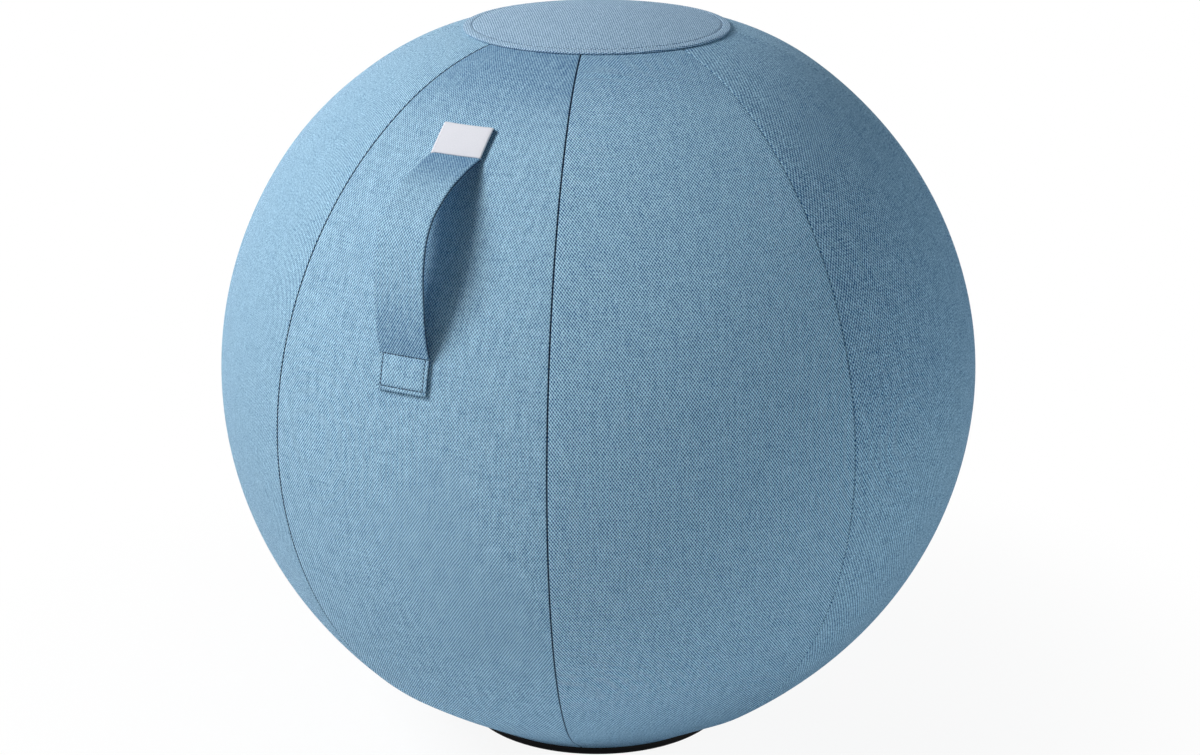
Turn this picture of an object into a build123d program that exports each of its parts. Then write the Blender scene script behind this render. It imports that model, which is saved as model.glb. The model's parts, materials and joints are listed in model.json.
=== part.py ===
from build123d import *
import os
from math import acos, asin, atan2, cos, degrees, hypot, radians, sin, sqrt, tan

# Sitting ball: an inflated inner ball in a sewn cover of gores, with a seat disc on top, a carry handle
# on the front gore, a weighted ring in the black base and a zip in one rear seam.
# Millimetres and degrees. +Z is up, the floor is z = 0, the ball's axis is Z and the handle faces -Y.

# Ball and cover
BALL_RADIUS = 325.0
FLOOR_SQUASH = 9.0  # the ball's centre stands this much lower than its radius
GORE_COUNT = 8
COVER_THICKNESS = 2.2
SEAM_ROUNDING = 0.9  # rolled edge of a gore beside its seams
SHOULDER_LATITUDE = 54.0  # the cover leaves the round here and bends over to the seat disc

# Gaps between layers
SEWN_GAP = 0.1  # layers sewn flat on each other
LAYER_GAP = 0.3  # layers that only lie on each other

# Seat disc
DISC_RADIUS = 112.0
DISC_CROWN_RADIUS = 480.0  # the disc is flatter than the ball
DISC_THICKNESS = 2.0
DISC_EDGE_ROUNDING = 0.8
DISC_OVERLAP = 14.0  # the gores' ends run in under the disc by this much

# Base
BASE_THICKNESS = 1.6
BASE_EDGE_HEIGHT = 7.5
BASE_EDGE_ROUNDING = 4.0
RING_SECTION = 11.4  # thickness of the base ring in its casing
CASING_THICKNESS = 0.6

# Handle
HANDLE_LATITUDE = 32.3
STRAP_WIDTH = 45.0
STRAP_LAYER = 1.8  # the strap is a face strip and a lining strip
LOOP_REACH = 81.0  # along the cover, from the handle's middle to where an end is sewn down
LOOP_CREST = 40.0  # top of the loop over the cover
SHOULDER_REACH = 31.0  # the loop's shoulders, along the handle from its middle
SHOULDER_DROP = 6.5  # and below its crest
FOOT_RUN = 5.0  # the loop lies flat this far beyond its sewn ends
FOOT_BEND = 12.0
SHOULDER_BEND = 36.0
CREST_BEND = 70.0
END_LENGTH = 30.0
LABEL_LENGTH = 29.0
LABEL_THICKNESS = 0.8
PATCH_MARGIN = 6.0  # the patches inside the cover stand out round the sewn ends
PATCH_THICKNESS = 0.8

# Zip, in the seam between the rear and the rear left gore
ZIP_SEAM = 4  # seams counted from the one on the front gore's right
ZIP_HEM = 14.0  # the zip stops this far above the line where the cover leaves the ball
TAPE_THICKNESS = 0.5
TAPE_REACH = 14.0  # outer edge of a tape from the seam
TAPE_TAIL = 7.0  # the tapes run on under the closed seam at both ends
TAPE_SLOT_GAP = 0.1
TOOTH_PITCH = 3.0
TOOTH_HEIGHT = 2.0
TOOTH_BACK = 2.9  # back of a tooth from the seam
TOOTH_HOOK = 0.7  # a tooth's head reaches this far over the seam
TOOTH_NECK = 0.9
TOOTH_HEAD = 1.35
STOP_LENGTH = 2.2
BOTTOM_STOP_LENGTH = 4.0
GUARD_WIDTH = 40.0
GUARD_THICKNESS = 0.3

# Zip slider and pull
SLIDER_LENGTH = 11.0
SLIDER_WIDTH = 9.0
SLIDER_MOUTH = 7.0  # width where the closed chain comes out
SLIDER_PLATE = 0.8
SLIDER_GAP = 0.2
SLIDER_CORNER = 1.2
SLIDER_SIDE_GAP = 0.5  # from the slider to the gores' edges
WEDGE_WIDTH = 1.7
WEDGE_LENGTH = 4.2
LUG_RADIUS = 2.0
LUG_WIDTH = 2.0
PIN_DIAMETER = 1.3
PIN_GAP = 0.1
PULL_LENGTH = 26.0
PULL_WIDTH = 7.0
PULL_THICKNESS = 1.4
PULL_ROUNDING = 2.3
PULL_ARM = 1.3
PULL_HOLE = 3.4

# Inner ball and valve
INNER_BALL_WALL = 0.9
VALVE_LATITUDE = -28.0
VALVE_FLANGE_RADIUS = 16.0
VALVE_BOSS_RADIUS = 12.0
VALVE_NECK_RADIUS = 8.0
VALVE_BORE_RADIUS = 4.5
VALVE_FLANGE = 1.6
VALVE_BOSS = 3.0
VALVE_NECK_LENGTH = 20.0
PLUG_HEAD_RADIUS = 7.0
PLUG_HEAD = 1.1
PLUG_LENGTH = 17.0
PLUG_TIP_RADIUS = 3.4
PLUG_TAPER = 5.0

# Places worked out from the sizes
CENTRE_HEIGHT = BALL_RADIUS - FLOOR_SQUASH
BALL_CENTRE = (0, CENTRE_HEIGHT)  # in a meridian plane
BALL_CENTRE_POINT = (0, 0, CENTRE_HEIGHT)
GORE_ANGLE = 360 / GORE_COUNT
FRONT = -90  # direction of the handle about Z

# The zip's layers, from the chain inwards
CHAIN_RADIUS = BALL_RADIUS - COVER_THICKNESS / 2
SLIDER_TOP = CHAIN_RADIUS + TOOTH_HEIGHT / 2 + SLIDER_GAP + SLIDER_PLATE
SLIDER_BOTTOM = CHAIN_RADIUS - TOOTH_HEIGHT / 2 - SLIDER_GAP - SLIDER_PLATE
GUARD_RADIUS = min(SLIDER_BOTTOM, BALL_RADIUS - COVER_THICKNESS) - LAYER_GAP
INNER_INSET = BALL_RADIUS - (GUARD_RADIUS - GUARD_THICKNESS - LAYER_GAP)
PATCH_INSET = COVER_THICKNESS + SEWN_GAP
INNER_BALL_RADIUS = BALL_RADIUS - max(INNER_INSET, PATCH_INSET + PATCH_THICKNESS + LAYER_GAP)
INNER_BALL_FLAT = BASE_THICKNESS + LAYER_GAP

# The ring lies where it touches both the base and the ball
RING_HEIGHT = BASE_THICKNESS + SEWN_GAP + RING_SECTION / 2
RING_REACH = INNER_BALL_RADIUS + LAYER_GAP + RING_SECTION / 2
RING_RADIUS = sqrt(RING_REACH**2 - (CENTRE_HEIGHT - RING_HEIGHT) ** 2)
BASE_RADIUS = RING_RADIUS + RING_SECTION / 2 + LAYER_GAP + BASE_THICKNESS

# The cover runs straight from the base's rim to the ball, which it meets at a tangent
RIM_DEPTH = CENTRE_HEIGHT - BASE_EDGE_HEIGHT
RIM_DISTANCE = hypot(BASE_RADIUS, RIM_DEPTH)
HEM_ANGLE = degrees(atan2(BASE_RADIUS, RIM_DEPTH) + acos(BALL_RADIUS / RIM_DISTANCE))
HEM_LATITUDE = HEM_ANGLE - 90

# Shoulder and crown of the cover, tangent to the ball and to each other at the disc's edge
CROWN_SLOPE = degrees(asin(DISC_RADIUS / DISC_CROWN_RADIUS))
SHOULDER_COS = cos(radians(SHOULDER_LATITUDE))
SHOULDER_RADIUS = (BALL_RADIUS * SHOULDER_COS - DISC_RADIUS) / (SHOULDER_COS - sin(radians(CROWN_SLOPE)))
SHOULDER_OFFSET = BALL_RADIUS - SHOULDER_RADIUS
SHOULDER_CENTRE = (
    SHOULDER_OFFSET * SHOULDER_COS,
    CENTRE_HEIGHT + SHOULDER_OFFSET * sin(radians(SHOULDER_LATITUDE)),
)
DISC_EDGE_HEIGHT = SHOULDER_CENTRE[1] + SHOULDER_RADIUS * cos(radians(CROWN_SLOPE))
CROWN_CENTRE = (0, DISC_EDGE_HEIGHT - DISC_CROWN_RADIUS * cos(radians(CROWN_SLOPE)))
GORE_END_RADIUS = DISC_RADIUS - DISC_OVERLAP

# The zip runs from the equator, where its slider stands closed, down to the hem
ZIP_TURN = FRONT + GORE_ANGLE / 2 + GORE_ANGLE * ZIP_SEAM
ZIP_AXIS = Axis(BALL_CENTRE_POINT, (0, 1, 0))
ZIP_TOP = degrees(SLIDER_LENGTH / BALL_RADIUS)
ZIP_BOTTOM = HEM_LATITUDE + degrees(ZIP_HEM / BALL_RADIUS)
ZIP_GAP = SLIDER_WIDTH / 2 + SLIDER_SIDE_GAP
TAPE_TAIL_ANGLE = degrees(TAPE_TAIL / BALL_RADIUS)
CHAIN_BOTTOM = ZIP_BOTTOM + degrees(BOTTOM_STOP_LENGTH / CHAIN_RADIUS)
TOOTH_ANGLE = degrees(TOOTH_PITCH / CHAIN_RADIUS)
TOOTH_COUNT = int((-CHAIN_BOTTOM - TOOTH_ANGLE) / TOOTH_ANGLE)

GORE_NAMES = ("front", "front_right", "right", "rear_right", "rear", "rear_left", "left", "front_left")


def arc(centre, radius, start, end):
    """Arc in a meridian plane between two angles above the horizontal."""
    return CenterArc(centre, radius, start, end - start)


def band(outer, inner):
    """Closed section between two runs of edges that start and end side by side."""
    ends = [Line(outer[0] @ 0, inner[0] @ 0), Line(outer[-1] @ 1, inner[-1] @ 1)]
    return Plane.XZ * make_face(outer + inner + ends)


def hem_line(inset):
    """Straight run of the cover from the base's rim to the ball, at a depth under its outside."""
    slope = radians(HEM_ANGLE)
    start = (BASE_RADIUS - inset * sin(slope), BASE_EDGE_HEIGHT + inset * cos(slope))
    radius = BALL_RADIUS - inset
    return Line(start, (radius * sin(slope), CENTRE_HEIGHT - radius * cos(slope)))


def ball_line(inset, start, end_radius):
    """Run of the cover over ball, shoulder and crown, at a depth under its outside."""
    crown = DISC_CROWN_RADIUS - inset
    return [
        arc(BALL_CENTRE, BALL_RADIUS - inset, start, SHOULDER_LATITUDE),
        arc(SHOULDER_CENTRE, SHOULDER_RADIUS - inset, SHOULDER_LATITUDE, 90 - CROWN_SLOPE),
        arc(CROWN_CENTRE, crown, 90 - CROWN_SLOPE, degrees(acos(end_radius / crown))),
    ]


def crown_cap(inner, outer, radius):
    """Domed disc on the crown, between two distances over it."""
    top = arc(CROWN_CENTRE, DISC_CROWN_RADIUS + outer, degrees(acos(radius / (DISC_CROWN_RADIUS + outer))), 90)
    low = arc(CROWN_CENTRE, DISC_CROWN_RADIUS + inner, degrees(acos(radius / (DISC_CROWN_RADIUS + inner))), 90)
    return revolve(band([top], [low]), Axis.Z)


def patch(low, high, inner, outer, width):
    """Curved patch round the ball's centre between two latitudes and two radii, cut to a width, facing -Y."""
    section = band([arc(BALL_CENTRE, outer, low, high)], [arc(BALL_CENTRE, inner, low, high)])
    reach = degrees(asin(width / (inner * cos(radians(high)))))
    sector = Rot(0, 0, FRONT - reach) * revolve(section, Axis.Z, 2 * reach)
    slab = Pos(0, -outer / 2, CENTRE_HEIGHT) * Box(width, outer, 2 * outer)
    return sector & slab


def seam_arc(low, high, section):
    """Piece along the zip's seam between two latitudes, from a section in distance from the ball and the seam."""
    face = Plane(BALL_CENTRE_POINT, x_dir=(1, 0, 0), z_dir=(0, 0, 1)) * section
    return Rot(0, 0, ZIP_TURN) * revolve(face, ZIP_AXIS, high - low).rotate(ZIP_AXIS, -high)


def seam_strip(low, high, inner, outer, near, far):
    """Rectangular strip along the zip's seam, between two radii and two distances from the seam."""
    middle = Pos((inner + outer) / 2, (near + far) / 2)
    return seam_arc(low, high, middle * Rectangle(outer - inner, abs(far - near)))


def on_zip(shape, latitude):
    """Sets a shape drawn on the equator at +X onto the zip's seam, at a latitude."""
    return Rot(0, 0, ZIP_TURN) * shape.rotate(ZIP_AXIS, -latitude)


def chain_plane(radius):
    """Plane on the equator at +X for the zip's pieces: x along the chain, upwards, and y across it."""
    return Plane((radius, 0, CENTRE_HEIGHT), x_dir=(0, 0, 1), z_dir=(1, 0, 0))


def gore():
    """One fabric gore from the base's rim to the seat disc, with its long edges rolled in."""
    outer = [hem_line(0)] + ball_line(0, HEM_LATITUDE, GORE_END_RADIUS)
    inner = [hem_line(COVER_THICKNESS)] + ball_line(COVER_THICKNESS, HEM_LATITUDE, GORE_END_RADIUS)
    blank = Rot(0, 0, -GORE_ANGLE / 2) * revolve(band(outer, inner), Axis.Z, GORE_ANGLE)
    seams = [edge for edge in blank.edges() if is_seam_edge(edge, outer)]
    return fillet(seams, SEAM_ROUNDING)


def is_seam_edge(edge, outer):
    """True for an edge of a gore that is one of its long outer edges."""
    middle = edge @ 0.5
    radius = hypot(middle.X, middle.Y)
    places = [line @ 0.5 for line in outer]
    return any(hypot(radius - p.X, middle.Z - p.Y) < SEAM_ROUNDING / 2 for p in places) and abs(middle.Y) > SEAM_ROUNDING


def gores():
    """All gores round the ball, with the zip's gap and tape slots cut into the two beside it."""
    blank = gore()
    gap = seam_strip(ZIP_BOTTOM, ZIP_TOP, GUARD_RADIUS, SLIDER_TOP, -ZIP_GAP, ZIP_GAP)
    slot_half = TAPE_THICKNESS / 2 + TAPE_SLOT_GAP
    slot = seam_strip(
        ZIP_BOTTOM - TAPE_TAIL_ANGLE,
        ZIP_TOP + TAPE_TAIL_ANGLE,
        CHAIN_RADIUS - slot_half,
        CHAIN_RADIUS + slot_half,
        -TAPE_REACH - TAPE_SLOT_GAP,
        TAPE_REACH + TAPE_SLOT_GAP,
    )
    made = {}
    for index, name in enumerate(GORE_NAMES):
        turned = Rot(0, 0, FRONT + GORE_ANGLE * index) * blank
        if index in (ZIP_SEAM, ZIP_SEAM + 1):
            turned = turned - gap - slot
        made[name + "_gore"] = turned
    return made


def top_disc():
    """Seat disc sewn over the gores' ends, with a rolled edge."""
    disc = crown_cap(SEWN_GAP, SEWN_GAP + DISC_THICKNESS, DISC_RADIUS)
    rim = disc.edges().filter_by(GeomType.CIRCLE).sort_by(Axis.Z)[:2]
    return fillet(rim[-1], DISC_EDGE_ROUNDING)


def top_disc_lining():
    """Lining disc inside the ring of gore ends, level with them."""
    return crown_cap(-COVER_THICKNESS, 0, GORE_END_RADIUS - LAYER_GAP)


def base_cup():
    """Black base: a flat bottom with a low turned-up wall that the gores are sewn to."""
    slope = radians(HEM_ANGLE)
    inside = BASE_RADIUS - BASE_THICKNESS
    wall_top = (inside, BASE_EDGE_HEIGHT + BASE_THICKNESS / tan(slope))
    inner_rounding = max(BASE_EDGE_ROUNDING - BASE_THICKNESS, BASE_THICKNESS / 2)
    outer = FilletPolyline(
        (0, 0), (BASE_RADIUS, 0), (BASE_RADIUS, BASE_EDGE_HEIGHT), radius=BASE_EDGE_ROUNDING
    )
    inner = FilletPolyline((0, BASE_THICKNESS), (inside, BASE_THICKNESS), wall_top, radius=inner_rounding)
    return revolve(band(outer.edges(), inner.edges()), Axis.Z)


def ring(outer_radius, inner_radius=0):
    """Closed ring in the base, round in section, hollow if it has an inner radius."""
    section = Circle(outer_radius)
    if inner_radius:
        section -= Circle(inner_radius)
    return revolve(Plane.XZ * Pos(RING_RADIUS, RING_HEIGHT) * section, Axis.Z)


def loop_path():
    """Line between the strap's two layers along the loop, in a plane with x up the handle and y outwards."""
    level = SEWN_GAP + STRAP_LAYER
    radius = BALL_RADIUS + level
    spread = LOOP_REACH / BALL_RADIUS
    foot = Vector(radius * sin(spread), radius * cos(spread) - BALL_RADIUS)
    foot_bend = foot - Vector(cos(spread), -sin(spread)) * FOOT_RUN
    crest = Vector(0, LOOP_CREST - STRAP_LAYER)
    shoulder = crest + Vector(SHOULDER_REACH, -SHOULDER_DROP)
    upper = [foot, foot_bend, shoulder]
    lower = [Vector(-p.X, p.Y) for p in reversed(upper)]
    bends = [FOOT_BEND, SHOULDER_BEND, CREST_BEND, SHOULDER_BEND, FOOT_BEND]
    return FilletPolyline(upper + [crest] + lower, radius=bends).wire()


def handle_plane():
    """Plane of the loop's path: on the cover at the handle's middle, x up the handle, y outwards."""
    slope = radians(HANDLE_LATITUDE)
    outward = Vector(0, -cos(slope), sin(slope))
    origin = Vector(*BALL_CENTRE_POINT) + outward * BALL_RADIUS
    up = Vector(0, sin(slope), cos(slope))
    return Plane(origin, x_dir=up, z_dir=up.cross(outward))


def strap_layer(side):
    """One strip of the loop, on one side of the line between the two."""
    section = make_face(loop_path().offset_2d(STRAP_LAYER, side=side))
    return handle_plane() * extrude(section, STRAP_WIDTH / 2, both=True)


def handle_ends():
    """The strap's two sewn ends, the label on the upper one, and the patches behind both inside the cover."""
    inside = BALL_RADIUS + SEWN_GAP
    outside = inside + 2 * STRAP_LAYER
    label_inside = outside + SEWN_GAP
    behind = BALL_RADIUS - PATCH_INSET
    spread = degrees((LOOP_REACH + LAYER_GAP) / BALL_RADIUS)
    length = degrees(END_LENGTH / BALL_RADIUS)
    margin = degrees(PATCH_MARGIN / BALL_RADIUS)
    patch_width = STRAP_WIDTH + 2 * PATCH_MARGIN
    made = {}
    for name, low in (("upper", HANDLE_LATITUDE + spread), ("lower", HANDLE_LATITUDE - spread - length)):
        high = low + length
        made[f"handle_{name}_end"] = patch(low, high, inside, outside, STRAP_WIDTH)
        made[f"{name}_inner_patch"] = patch(
            low - margin, high + margin, behind - PATCH_THICKNESS, behind, patch_width
        )
    label_low = HANDLE_LATITUDE + spread
    label_high = label_low + degrees(LABEL_LENGTH / BALL_RADIUS)
    made["label"] = patch(label_low, label_high, label_inside, label_inside + LABEL_THICKNESS, STRAP_WIDTH)
    return made


def zip_tapes():
    """The two tapes, from the back of the teeth into the slots in the gores."""
    low = ZIP_BOTTOM - TAPE_TAIL_ANGLE + degrees(TAPE_SLOT_GAP / CHAIN_RADIUS)
    high = ZIP_TOP + TAPE_TAIL_ANGLE - degrees(TAPE_SLOT_GAP / CHAIN_RADIUS)
    inner = CHAIN_RADIUS - TAPE_THICKNESS / 2
    outer = CHAIN_RADIUS + TAPE_THICKNESS / 2
    return {
        "zip_tape_right": seam_strip(low, high, inner, outer, -TAPE_REACH, -TOOTH_BACK),
        "zip_tape_left": seam_strip(low, high, inner, outer, TOOTH_BACK, TAPE_REACH),
    }


def tooth(side):
    """One moulded tooth on the equator: a block at the tape, a neck and a wider hooked head."""
    back = TOOTH_PITCH - TOOTH_HEAD
    outline = Polyline(
        (-back / 2, side * TOOTH_BACK),
        (-back / 2, side * TOOTH_HOOK * 2),
        (-TOOTH_NECK / 2, side * TOOTH_HOOK),
        (-TOOTH_HEAD / 2, -side * TOOTH_HOOK / 2),
        (-TOOTH_NECK / 2, -side * TOOTH_HOOK),
        (TOOTH_NECK / 2, -side * TOOTH_HOOK),
        (TOOTH_HEAD / 2, -side * TOOTH_HOOK / 2),
        (TOOTH_NECK / 2, side * TOOTH_HOOK),
        (back / 2, side * TOOTH_HOOK * 2),
        (back / 2, side * TOOTH_BACK),
        close=True,
    )
    return extrude(chain_plane(CHAIN_RADIUS) * make_face(outline), TOOTH_HEIGHT / 2, both=True)


def zip_teeth():
    """Both rows of teeth, set half a pitch apart so that their heads hook into each other."""
    made = {}
    for name, side, start in (("zip_teeth_right", -1, 0.5), ("zip_teeth_left", 1, 1.0)):
        first = tooth(side)
        row = [on_zip(first, -TOOTH_ANGLE * (start + n)) for n in range(TOOTH_COUNT)]
        made[name] = Compound(children=row)
    return made


def zip_stops():
    """Two stops beside the slider's wedge at the top, and one across both rows at the bottom."""
    inner = CHAIN_RADIUS - TOOTH_HEIGHT / 2
    outer = CHAIN_RADIUS + TOOTH_HEIGHT / 2
    low = degrees(TOOTH_PITCH / 2 / CHAIN_RADIUS)
    high = low + degrees(STOP_LENGTH / CHAIN_RADIUS)
    near = WEDGE_WIDTH / 2 + SLIDER_GAP
    pair = [seam_strip(low, high, inner, outer, side * near, side * TOOTH_BACK) for side in (-1, 1)]
    bottom_high = -TOOTH_ANGLE * (TOOTH_COUNT + 1)
    bottom_low = bottom_high - degrees(BOTTOM_STOP_LENGTH / CHAIN_RADIUS)
    return {
        "zip_top_stops": Compound(children=pair),
        "zip_bottom_stop": seam_strip(bottom_low, bottom_high, inner, outer, -TOOTH_BACK, TOOTH_BACK),
    }


def zip_guard():
    """Thin strip behind the chain, between it and the inner ball."""
    return seam_strip(
        ZIP_BOTTOM - TAPE_TAIL_ANGLE,
        ZIP_TOP + TAPE_TAIL_ANGLE,
        GUARD_RADIUS - GUARD_THICKNESS,
        GUARD_RADIUS,
        -GUARD_WIDTH / 2,
        GUARD_WIDTH / 2,
    )


def slider_outline():
    """The slider's plates seen from outside: wide at the top, narrower where the closed chain comes out."""
    half = SLIDER_LENGTH / 2
    corners = [
        (half, SLIDER_WIDTH / 2),
        (0, SLIDER_WIDTH / 2),
        (-half, SLIDER_MOUTH / 2),
        (-half, -SLIDER_MOUTH / 2),
        (0, -SLIDER_WIDTH / 2),
        (half, -SLIDER_WIDTH / 2),
    ]
    return make_face(FilletPolyline(corners, radius=SLIDER_CORNER, close=True))


def zip_slider():
    """Slider body: two plates, flanges that hold the tapes, the wedge between them and the pull's lug."""
    outline = slider_outline()
    channel = TOOTH_HEIGHT / 2 + SLIDER_GAP
    lips = TAPE_THICKNESS / 2 + SLIDER_GAP
    base = chain_plane(CHAIN_RADIUS)
    flange_near = TOOTH_BACK + SLIDER_GAP
    sides = Rectangle(SLIDER_LENGTH, SLIDER_WIDTH) - Rectangle(SLIDER_LENGTH, 2 * flange_near)
    flanges = outline & sides
    half = SLIDER_LENGTH / 2
    wedge_top = half - SLIDER_CORNER / 2
    wedge = make_face(
        Polyline(
            (wedge_top, WEDGE_WIDTH / 2),
            (wedge_top - WEDGE_LENGTH, 0),
            (wedge_top, -WEDGE_WIDTH / 2),
            close=True,
        )
    )
    body = extrude(base * wedge, channel, both=True)
    for side in (-1, 1):
        body += extrude(base.offset(side * channel) * outline, side * SLIDER_PLATE)
        body += extrude(base.offset(side * lips) * flanges, side * (channel - lips))
    return on_zip(body + lug(), 0)


def lug():
    """Rounded lug on the slider's outer plate, with the hole that the pull's pin turns in."""
    height = SLIDER_TOP + LUG_RADIUS
    side_plane = Plane((height, 0, CENTRE_HEIGHT), x_dir=(0, 0, 1), z_dir=(0, 1, 0))
    foot_depth = LUG_RADIUS + SLIDER_PLATE / 2
    foot = Pos(0, -foot_depth / 2) * Rectangle(2 * LUG_RADIUS, foot_depth)
    hole = Circle(PIN_DIAMETER / 2 + PIN_GAP)
    return extrude(side_plane * (Circle(LUG_RADIUS) + foot - hole), LUG_WIDTH / 2, both=True)


def zip_pull():
    """Pull that hangs from the lug: a pin through the hole, two arms and a tab with a round hole."""
    height = SLIDER_TOP + LUG_RADIUS
    eye = LUG_WIDTH + 2 * PIN_GAP
    yoke = eye + 2 * PULL_ARM
    window = LUG_RADIUS + 2 * PIN_GAP + PIN_DIAMETER
    shoulder = window + PULL_ARM
    tab_end = -PULL_LENGTH
    outline = make_face(
        Polyline(
            (0, yoke / 2),
            (-shoulder, yoke / 2),
            (-shoulder - PULL_ARM, PULL_WIDTH / 2),
            (tab_end, PULL_WIDTH / 2),
            (tab_end, -PULL_WIDTH / 2),
            (-shoulder - PULL_ARM, -PULL_WIDTH / 2),
            (-shoulder, -yoke / 2),
            (0, -yoke / 2),
            close=True,
        )
    )
    eyelet = Pos(-window / 2, 0) * Rectangle(window, eye)
    hole = Pos(tab_end + PULL_WIDTH / 2, 0) * Circle(PULL_HOLE / 2)
    tab = extrude(chain_plane(height) * (outline - eyelet - hole), PULL_THICKNESS / 2, both=True)
    ends = tab.edges().filter_by(Axis.X).group_by(Axis.Z)[0]
    tab = fillet(ends, PULL_ROUNDING)
    pin_plane = Plane((height, 0, CENTRE_HEIGHT), x_dir=(0, 0, 1), z_dir=(0, 1, 0))
    pin = extrude(pin_plane * Circle(PIN_DIAMETER / 2), yoke / 2, both=True)
    return on_zip(tab + pin, 0)


def valve_plane():
    """Plane on the inner ball's outside at the valve, behind the zip, with z outwards."""
    around = radians(ZIP_TURN)
    up = radians(VALVE_LATITUDE)
    outward = Vector(cos(up) * cos(around), cos(up) * sin(around), sin(up))
    return Plane(Vector(*BALL_CENTRE_POINT) + outward * INNER_BALL_RADIUS, z_dir=outward)


def turned(points):
    """Round piece at the valve, turned from an outline in radius and height."""
    return valve_plane() * revolve(Plane.XZ * make_face(Polyline(points, close=True)), Axis.Z)


def sag(radius):
    """How far the inner ball's surface falls away at a distance from the valve's axis."""
    return INNER_BALL_RADIUS - sqrt(INNER_BALL_RADIUS**2 - radius**2)


VALVE_TOP = -sag(VALVE_BOSS_RADIUS)
VALVE_RECESS = VALVE_TOP - PLUG_HEAD - SEWN_GAP
VALVE_FLANGE_TOP = -sag(VALVE_FLANGE_RADIUS) - INNER_BALL_WALL - SEWN_GAP
VALVE_FOOT = VALVE_FLANGE_TOP - VALVE_FLANGE


def valve_seat():
    """Moulded valve seat: a boss in the ball's wall, a flange behind it and a neck with the bore."""
    bottom = min(VALVE_FOOT, VALVE_TOP - VALVE_BOSS)
    recess_radius = PLUG_HEAD_RADIUS + SEWN_GAP
    return turned(
        [
            (VALVE_BORE_RADIUS, VALVE_RECESS),
            (recess_radius, VALVE_RECESS),
            (recess_radius, VALVE_TOP),
            (VALVE_BOSS_RADIUS, VALVE_TOP),
            (VALVE_BOSS_RADIUS, VALVE_FLANGE_TOP),
            (VALVE_FLANGE_RADIUS, VALVE_FLANGE_TOP),
            (VALVE_FLANGE_RADIUS, VALVE_FOOT),
            (VALVE_NECK_RADIUS, bottom),
            (VALVE_NECK_RADIUS, bottom - VALVE_NECK_LENGTH),
            (VALVE_BORE_RADIUS, bottom - VALVE_NECK_LENGTH),
        ]
    )


def valve_plug():
    """Plug pressed into the valve's bore, with a flat head and a tapered tip."""
    head_bottom = VALVE_RECESS + SEWN_GAP / 2
    stem = VALVE_BORE_RADIUS - SEWN_GAP
    return turned(
        [
            (0, VALVE_TOP),
            (PLUG_HEAD_RADIUS, VALVE_TOP),
            (PLUG_HEAD_RADIUS, head_bottom),
            (stem, head_bottom),
            (stem, head_bottom - PLUG_LENGTH + PLUG_TAPER),
            (PLUG_TIP_RADIUS, head_bottom - PLUG_LENGTH),
            (0, head_bottom - PLUG_LENGTH),
        ]
    )


def inner_ball():
    """Inflated ball: a thin round skin, pressed flat on the base, with the valve's hole."""

    def filled(inset, flat):
        """The ball's whole body at a depth under the cover's outside."""
        start = -degrees(asin((CENTRE_HEIGHT - flat) / (BALL_RADIUS - inset)))
        over = ball_line(inset, start, 0)
        floor = Line((0, flat), over[0] @ 0)
        axis = Line((0, flat), over[-1] @ 1)
        return revolve(Plane.XZ * make_face(over + [floor, axis]), Axis.Z)

    inset = BALL_RADIUS - INNER_BALL_RADIUS
    skin = filled(inset, INNER_BALL_FLAT)
    skin -= filled(inset + INNER_BALL_WALL, INNER_BALL_FLAT + INNER_BALL_WALL)
    hole_depth = VALVE_FLANGE_RADIUS
    hole = valve_plane() * Cylinder(VALVE_BOSS_RADIUS + SEWN_GAP, hole_depth)
    return skin - hole


def build():
    """All nodes of the sitting ball by name."""
    parts = gores()
    parts["top_disc"] = top_disc()
    parts["top_disc_lining"] = top_disc_lining()
    parts["base_cup"] = base_cup()
    casing_inside = RING_SECTION / 2 - CASING_THICKNESS
    parts["ring_casing"] = ring(RING_SECTION / 2, casing_inside)
    parts["base_ring"] = ring(casing_inside - SEWN_GAP)
    parts["handle_face"] = strap_layer(Side.RIGHT)
    parts["handle_lining"] = strap_layer(Side.LEFT)
    parts.update(handle_ends())
    parts.update(zip_tapes())
    parts.update(zip_teeth())
    parts.update(zip_stops())
    parts["zip_guard"] = zip_guard()
    parts["zip_slider"] = zip_slider()
    parts["zip_pull"] = zip_pull()
    parts["inner_ball"] = inner_ball()
    parts["valve_seat"] = valve_seat()
    parts["valve_plug"] = valve_plug()
    return parts


os.makedirs("parts", exist_ok=True)
for node, shape in build().items():
    export_step(shape, f"parts/{node}.step")
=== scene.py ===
"""Looks of the sitting ball: a sewn twill cover, seat disc, carry strap, label, base and zip.

Everything is in metres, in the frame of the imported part: +Z up, the floor at z = 0 and the
handle facing -Y.
"""

from __future__ import annotations

import json
import logging
import math
from dataclasses import dataclass, replace
from enum import Enum
from functools import cached_property
from typing import Callable, Iterable, Union

import bmesh
import bpy
from mathutils import Matrix, Vector

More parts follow.
